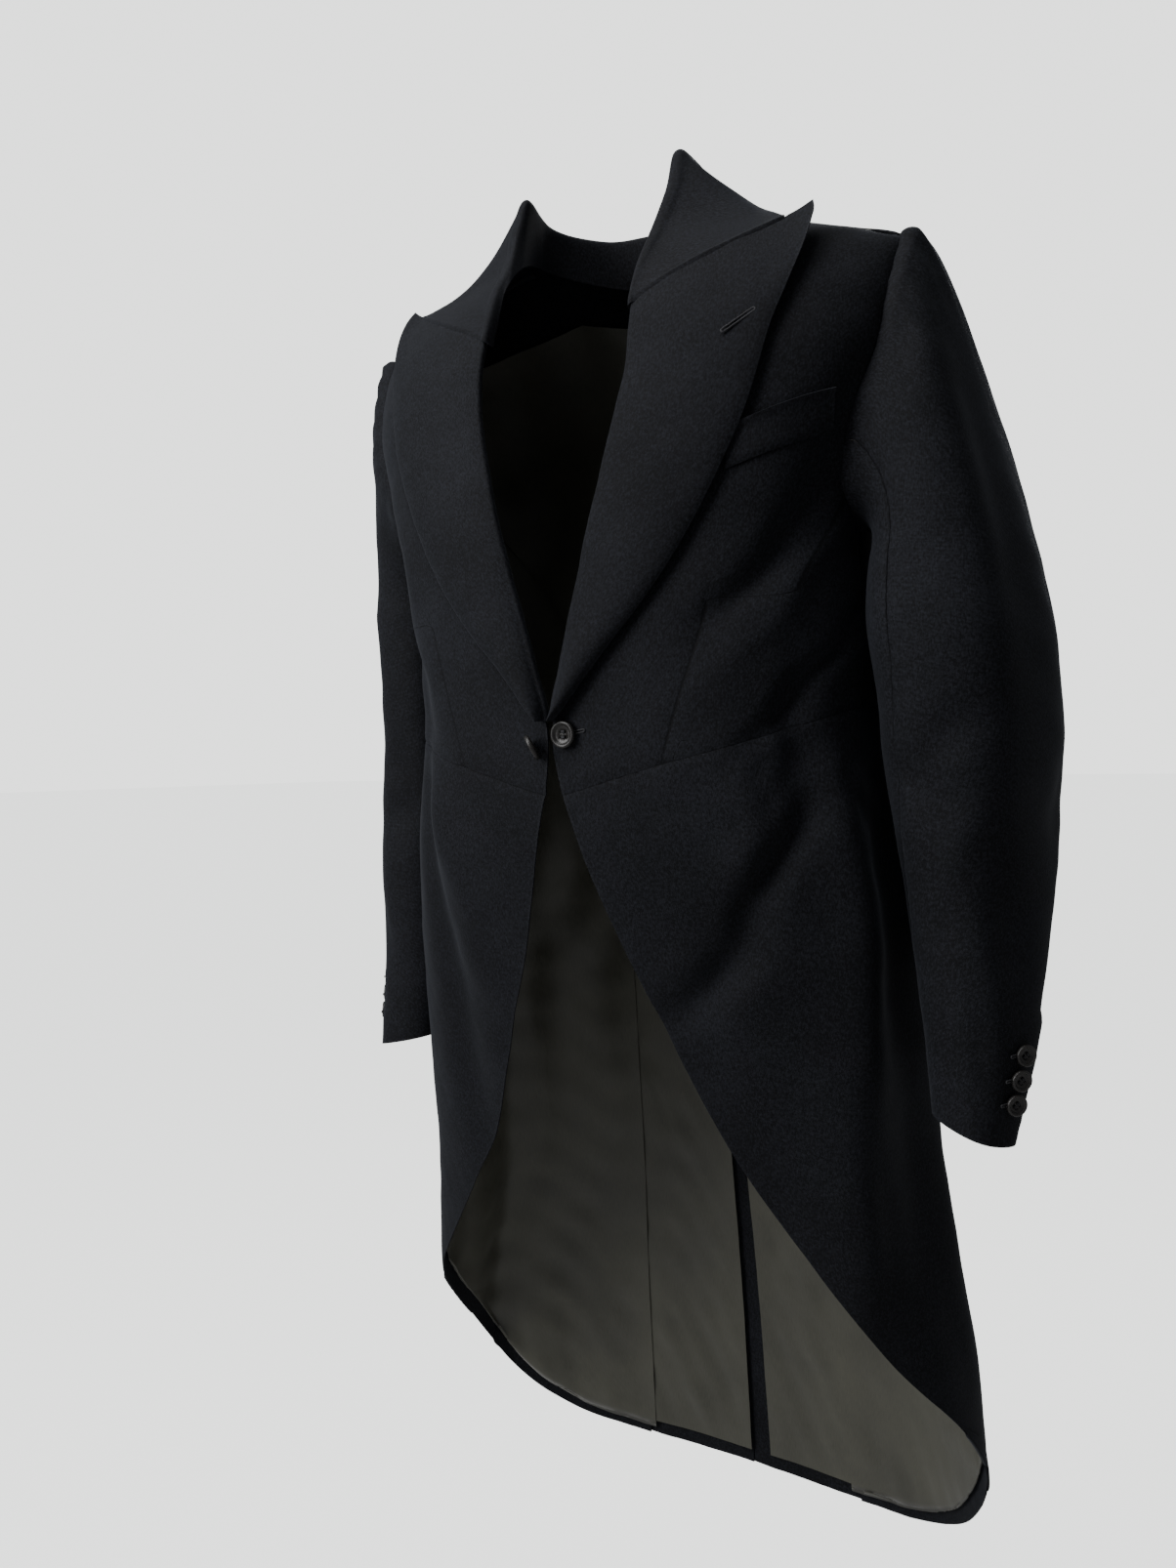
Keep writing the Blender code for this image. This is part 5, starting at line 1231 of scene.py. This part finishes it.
def sewn_button(place):
    """One button with its holes, and the stitches that cross them and bind its shank."""
    r, t = place.diameter / 2, place.thickness
    hole_out, stitch = r * HOLE_OUT, r * STITCH_RADIUS
    made = bmesh.new()
    verts = [made.verts.new((r * out, 0, t * up)) for out, up in RIM]
    for pair in zip(verts, verts[1:]):
        made.edges.new(pair)
    bmesh.ops.spin(made, geom=made.verts[:] + made.edges[:], cent=(0, 0, 0), axis=(0, 0, 1),
                   angle=math.tau, steps=40, use_merge=True)
    bmesh.ops.remove_doubles(made, verts=made.verts, dist=WELD)
    rings = {level: [e for e in made.edges if e.is_boundary and abs(e.verts[0].co.z - level) < 1e-7]
             for level in (t * RIM[0][1], 0.0)}
    for quarter in range(4):
        angle = math.tau * (quarter + 0.5) / 4
        spot = Vector((hole_out * math.cos(angle), hole_out * math.sin(angle), 0))
        pair = []
        for level in rings:
            circle = bmesh.ops.create_circle(made, segments=12, radius=r * HOLE_RADIUS)["verts"]
            bmesh.ops.translate(made, verts=circle, vec=spot + Vector((0, 0, level)))
            edges = list(dict.fromkeys(e for v in circle for e in v.link_edges))
            rings[level] += edges
            pair += edges
        bmesh.ops.bridge_loops(made, edges=pair)
    for edges in rings.values():
        bmesh.ops.triangle_fill(made, use_beauty=True, use_dissolve=False, edges=edges)
    bmesh.ops.recalc_face_normals(made, faces=made.faces)
    thread = bmesh.new()
    for sign in (-1, 1):
        for shift in (-0.35, 0.35):
            bar = bmesh.ops.create_uvsphere(thread, u_segments=8, v_segments=7, radius=stitch)["verts"]
            bmesh.ops.scale(thread, verts=bar, vec=(hole_out * 0.78 / stitch, 1, 0.9))
            bmesh.ops.translate(thread, verts=bar,
                                vec=(0, sign * hole_out * 0.71 + shift * 2 * stitch, t * 0.53))
    if place.shank:
        neck = bmesh.ops.create_cone(thread, cap_ends=True, segments=12, radius1=r * 0.26, radius2=r * 0.20,
                                     depth=place.shank)["verts"]
        bmesh.ops.translate(thread, verts=neck, vec=(0, 0, -place.shank / 2))
    turn = Vector((0, 0, 1)).rotation_difference(place.facing).to_matrix()
    for part in (made, thread):
        bmesh.ops.rotate(part, verts=part.verts, cent=(0, 0, 0), matrix=turn)
        bmesh.ops.translate(part, verts=part.verts, vec=place.centre)
    disc = piece_from(place.node + "_horn", made, horn)
    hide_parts(place.node)
    piece_from(place.node + "_stitch", thread, waxed)


def on_body(angle, z, lift, mirror):
    facing = outward(np.array(float(angle)), np.array(z), mirror)
    p = body(angle, z, mirror) + facing * lift
    return Vector(p * (mirror, 1, 1)), Vector(facing * (mirror, 1, 1))


LINK_OUT, LINK_HEIGHT, LINK_SHANK, BUTTON_CLEAR = 0.013, -0.389, 0.0008, 0.0005
LARGE, SMALL = (0.020, 0.0040), (0.015, 0.0034)      # diameter and thickness
WAIST_OUT, WAIST_HEIGHT, WAIST_LIFT, WAIST_SHANK = 0.045, -0.384, 0.0044, 0.0018
CUFF_LIFT, CUFF_SHANK = 0.0036, 0.0012
centre, facing = on_body(angle_at(LINK_OUT, LINK_HEIGHT), LINK_HEIGHT, BUTTON_CLEAR + LINK_SHANK, 1)
BUTTONS = [
    ButtonPlace("link_button_left", centre, facing, *LARGE, LINK_SHANK),
    ButtonPlace("link_button_right", Vector((-0.0090, -0.1240, -0.397)),
                Vector((-0.74, -0.48, -0.48)).normalized(), *LARGE, 0.0),
]
CUFF_BUTTON_AT = (0.899, 0.9265, 0.953)
CUFF_BUTTON_TURN = 14.0
BUTTON_TIP, BUTTON_SHIFT = 0.40, 0.0030     # how a cuff button leans and hangs forward on its thread
cuff_spots = {}
for side, mirror in SIDES:
    places = sleeve_of(side, mirror)
    turn = HIND_SEAM + CUFF_TWIST[side] + CUFF_BUTTON_TURN
    flipped = Vector((mirror, 1, 1))
    for k, share in enumerate(CUFF_BUTTON_AT):
        round_it = places(turn + 1, share) - places(turn - 1, share)
        down_it = places(turn, share + 0.004) - places(turn, share - 0.004)
        facing = Vector(np.cross(round_it, down_it)).normalized()
        forward = Vector(round_it).normalized()
        centre = Vector(places(turn, share)) + facing * CUFF_LIFT
        cuff_spots[side, k] = centre * flipped, facing * flipped, forward * flipped
        tipped = (facing + forward * BUTTON_TIP).normalized()
        seat = centre + forward * BUTTON_SHIFT
        BUTTONS.append(ButtonPlace(f"cuff_button_{side}_{k + 1}", seat * flipped, tipped * flipped, *SMALL,
                                   CUFF_SHANK))
    centre, facing = on_body(180 - angle_at(WAIST_OUT, WAIST_HEIGHT), WAIST_HEIGHT, WAIST_LIFT, mirror)
    BUTTONS.append(ButtonPlace(f"waist_button_{side}", centre, facing, *LARGE, WAIST_SHANK))
for place in BUTTONS:
    sewn_button(place)

# Link thread
# A short bar of waxed thread joins the two link buttons through both fronts. Its solid is plain and
# is only given the thread's finish.
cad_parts["link_thread"].material_slots[0].material = waxed

# Worked buttonholes
# Each is a slit bound with close purl stitches: one in the left lapel, one behind the link's left
# button, and a short one by each cuff button.
THREAD_OFF = 1.9          # how far the thread's middle lies from the slit's, in its own radii
PURL = 0.0005             # spacing of the stitches


def worked_hole(name, centre, run, facing, length, radius=0.00052):
    """A long ring of thread round a slit, ridged by its stitches."""
    made = bmesh.new()
    ring = bmesh.ops.create_circle(made, segments=8, radius=radius)
    bmesh.ops.rotate(made, verts=ring["verts"], cent=(0, 0, 0), matrix=Matrix.Rotation(math.pi / 2, 3, "X"))
    bmesh.ops.translate(made, verts=ring["verts"], vec=(radius * THREAD_OFF, 0, 0))
    bmesh.ops.rotate(made, verts=made.verts, cent=(0, 0, 0), matrix=Matrix.Rotation(0.15, 3, "Z"))
    bmesh.ops.spin(made, geom=made.verts[:] + made.edges[:], cent=(0, 0, 0), axis=(0, 0, 1),
                   angle=math.tau, steps=20, use_merge=True)
    bmesh.ops.remove_doubles(made, verts=made.verts, dist=WELD)
    for vert in made.verts:
        vert.co.x += math.copysign(length / 2, vert.co.x)
    sides = [e for e in made.edges if e.calc_length() > length * 0.6]
    bmesh.ops.subdivide_edges(made, edges=sides, cuts=max(6, int(length / PURL)), use_grid_fill=True)
    for vert in made.verts:
        ridge = 0.78 + 0.32 * (round(vert.co.x / PURL) % 2)
        middle = math.copysign(radius * THREAD_OFF, vert.co.y)
        if abs(vert.co.x) < length / 2:
            vert.co.y = middle + (vert.co.y - middle) * ridge
            vert.co.z *= ridge
    bmesh.ops.recalc_face_normals(made, faces=made.faces)
    x_line = (run - facing * run.dot(facing)).normalized()
    y_line = facing.cross(x_line)
    for vert in made.verts:
        vert.co = centre + x_line * vert.co.x + y_line * vert.co.y + facing * vert.co.z
    piece_from(name, made, waxed)


HOLE_FROM, HOLE_TO = (0.139, -0.124), (0.157, -0.111)


def on_lapel(x, z):
    """Place and direction on the left lapel's face."""
    face = LAPEL_PLACES[:, FOLD_COLUMN:]
    gap = (face[..., 0] - x) ** 2 + (face[..., 2] - z) ** 2
    j, i = np.unravel_index(gap.argmin(), gap.shape)
    return Vector(face[j, i]), Vector(square_to(LAPEL_PLACES, False)[j, i + FOLD_COLUMN])


HOLE_LIFT = 0.0002
LINK_HOLE_OUT, LINK_HOLE_HEIGHT, LINK_HOLE_LENGTH = 0.020, LINK_HEIGHT + 0.001, 0.017
CUFF_HOLE_FORWARD, CUFF_HOLE_SINK, CUFF_HOLE_LENGTH = 0.0102, 0.0017, 0.010
(first, n), (last, n) = on_lapel(*HOLE_FROM), on_lapel(*HOLE_TO)
worked_hole("lapel_buttonhole", (first + last) / 2 + n * HOLE_LIFT, last - first, n, (last - first).length,
            0.00064)
centre, n = on_body(angle_at(LINK_HOLE_OUT, LINK_HOLE_HEIGHT), LINK_HOLE_HEIGHT, HOLE_LIFT, 1)
worked_hole("link_buttonhole_left", centre, Vector((1, 0, 0.15)), n, LINK_HOLE_LENGTH)
for (side, k), (centre, n, run) in cuff_spots.items():
    worked_hole(f"cuff_buttonhole_{side}_{k + 1}", centre + run * CUFF_HOLE_FORWARD - n * CUFF_HOLE_SINK,
                run, n, CUFF_HOLE_LENGTH, 0.00042)
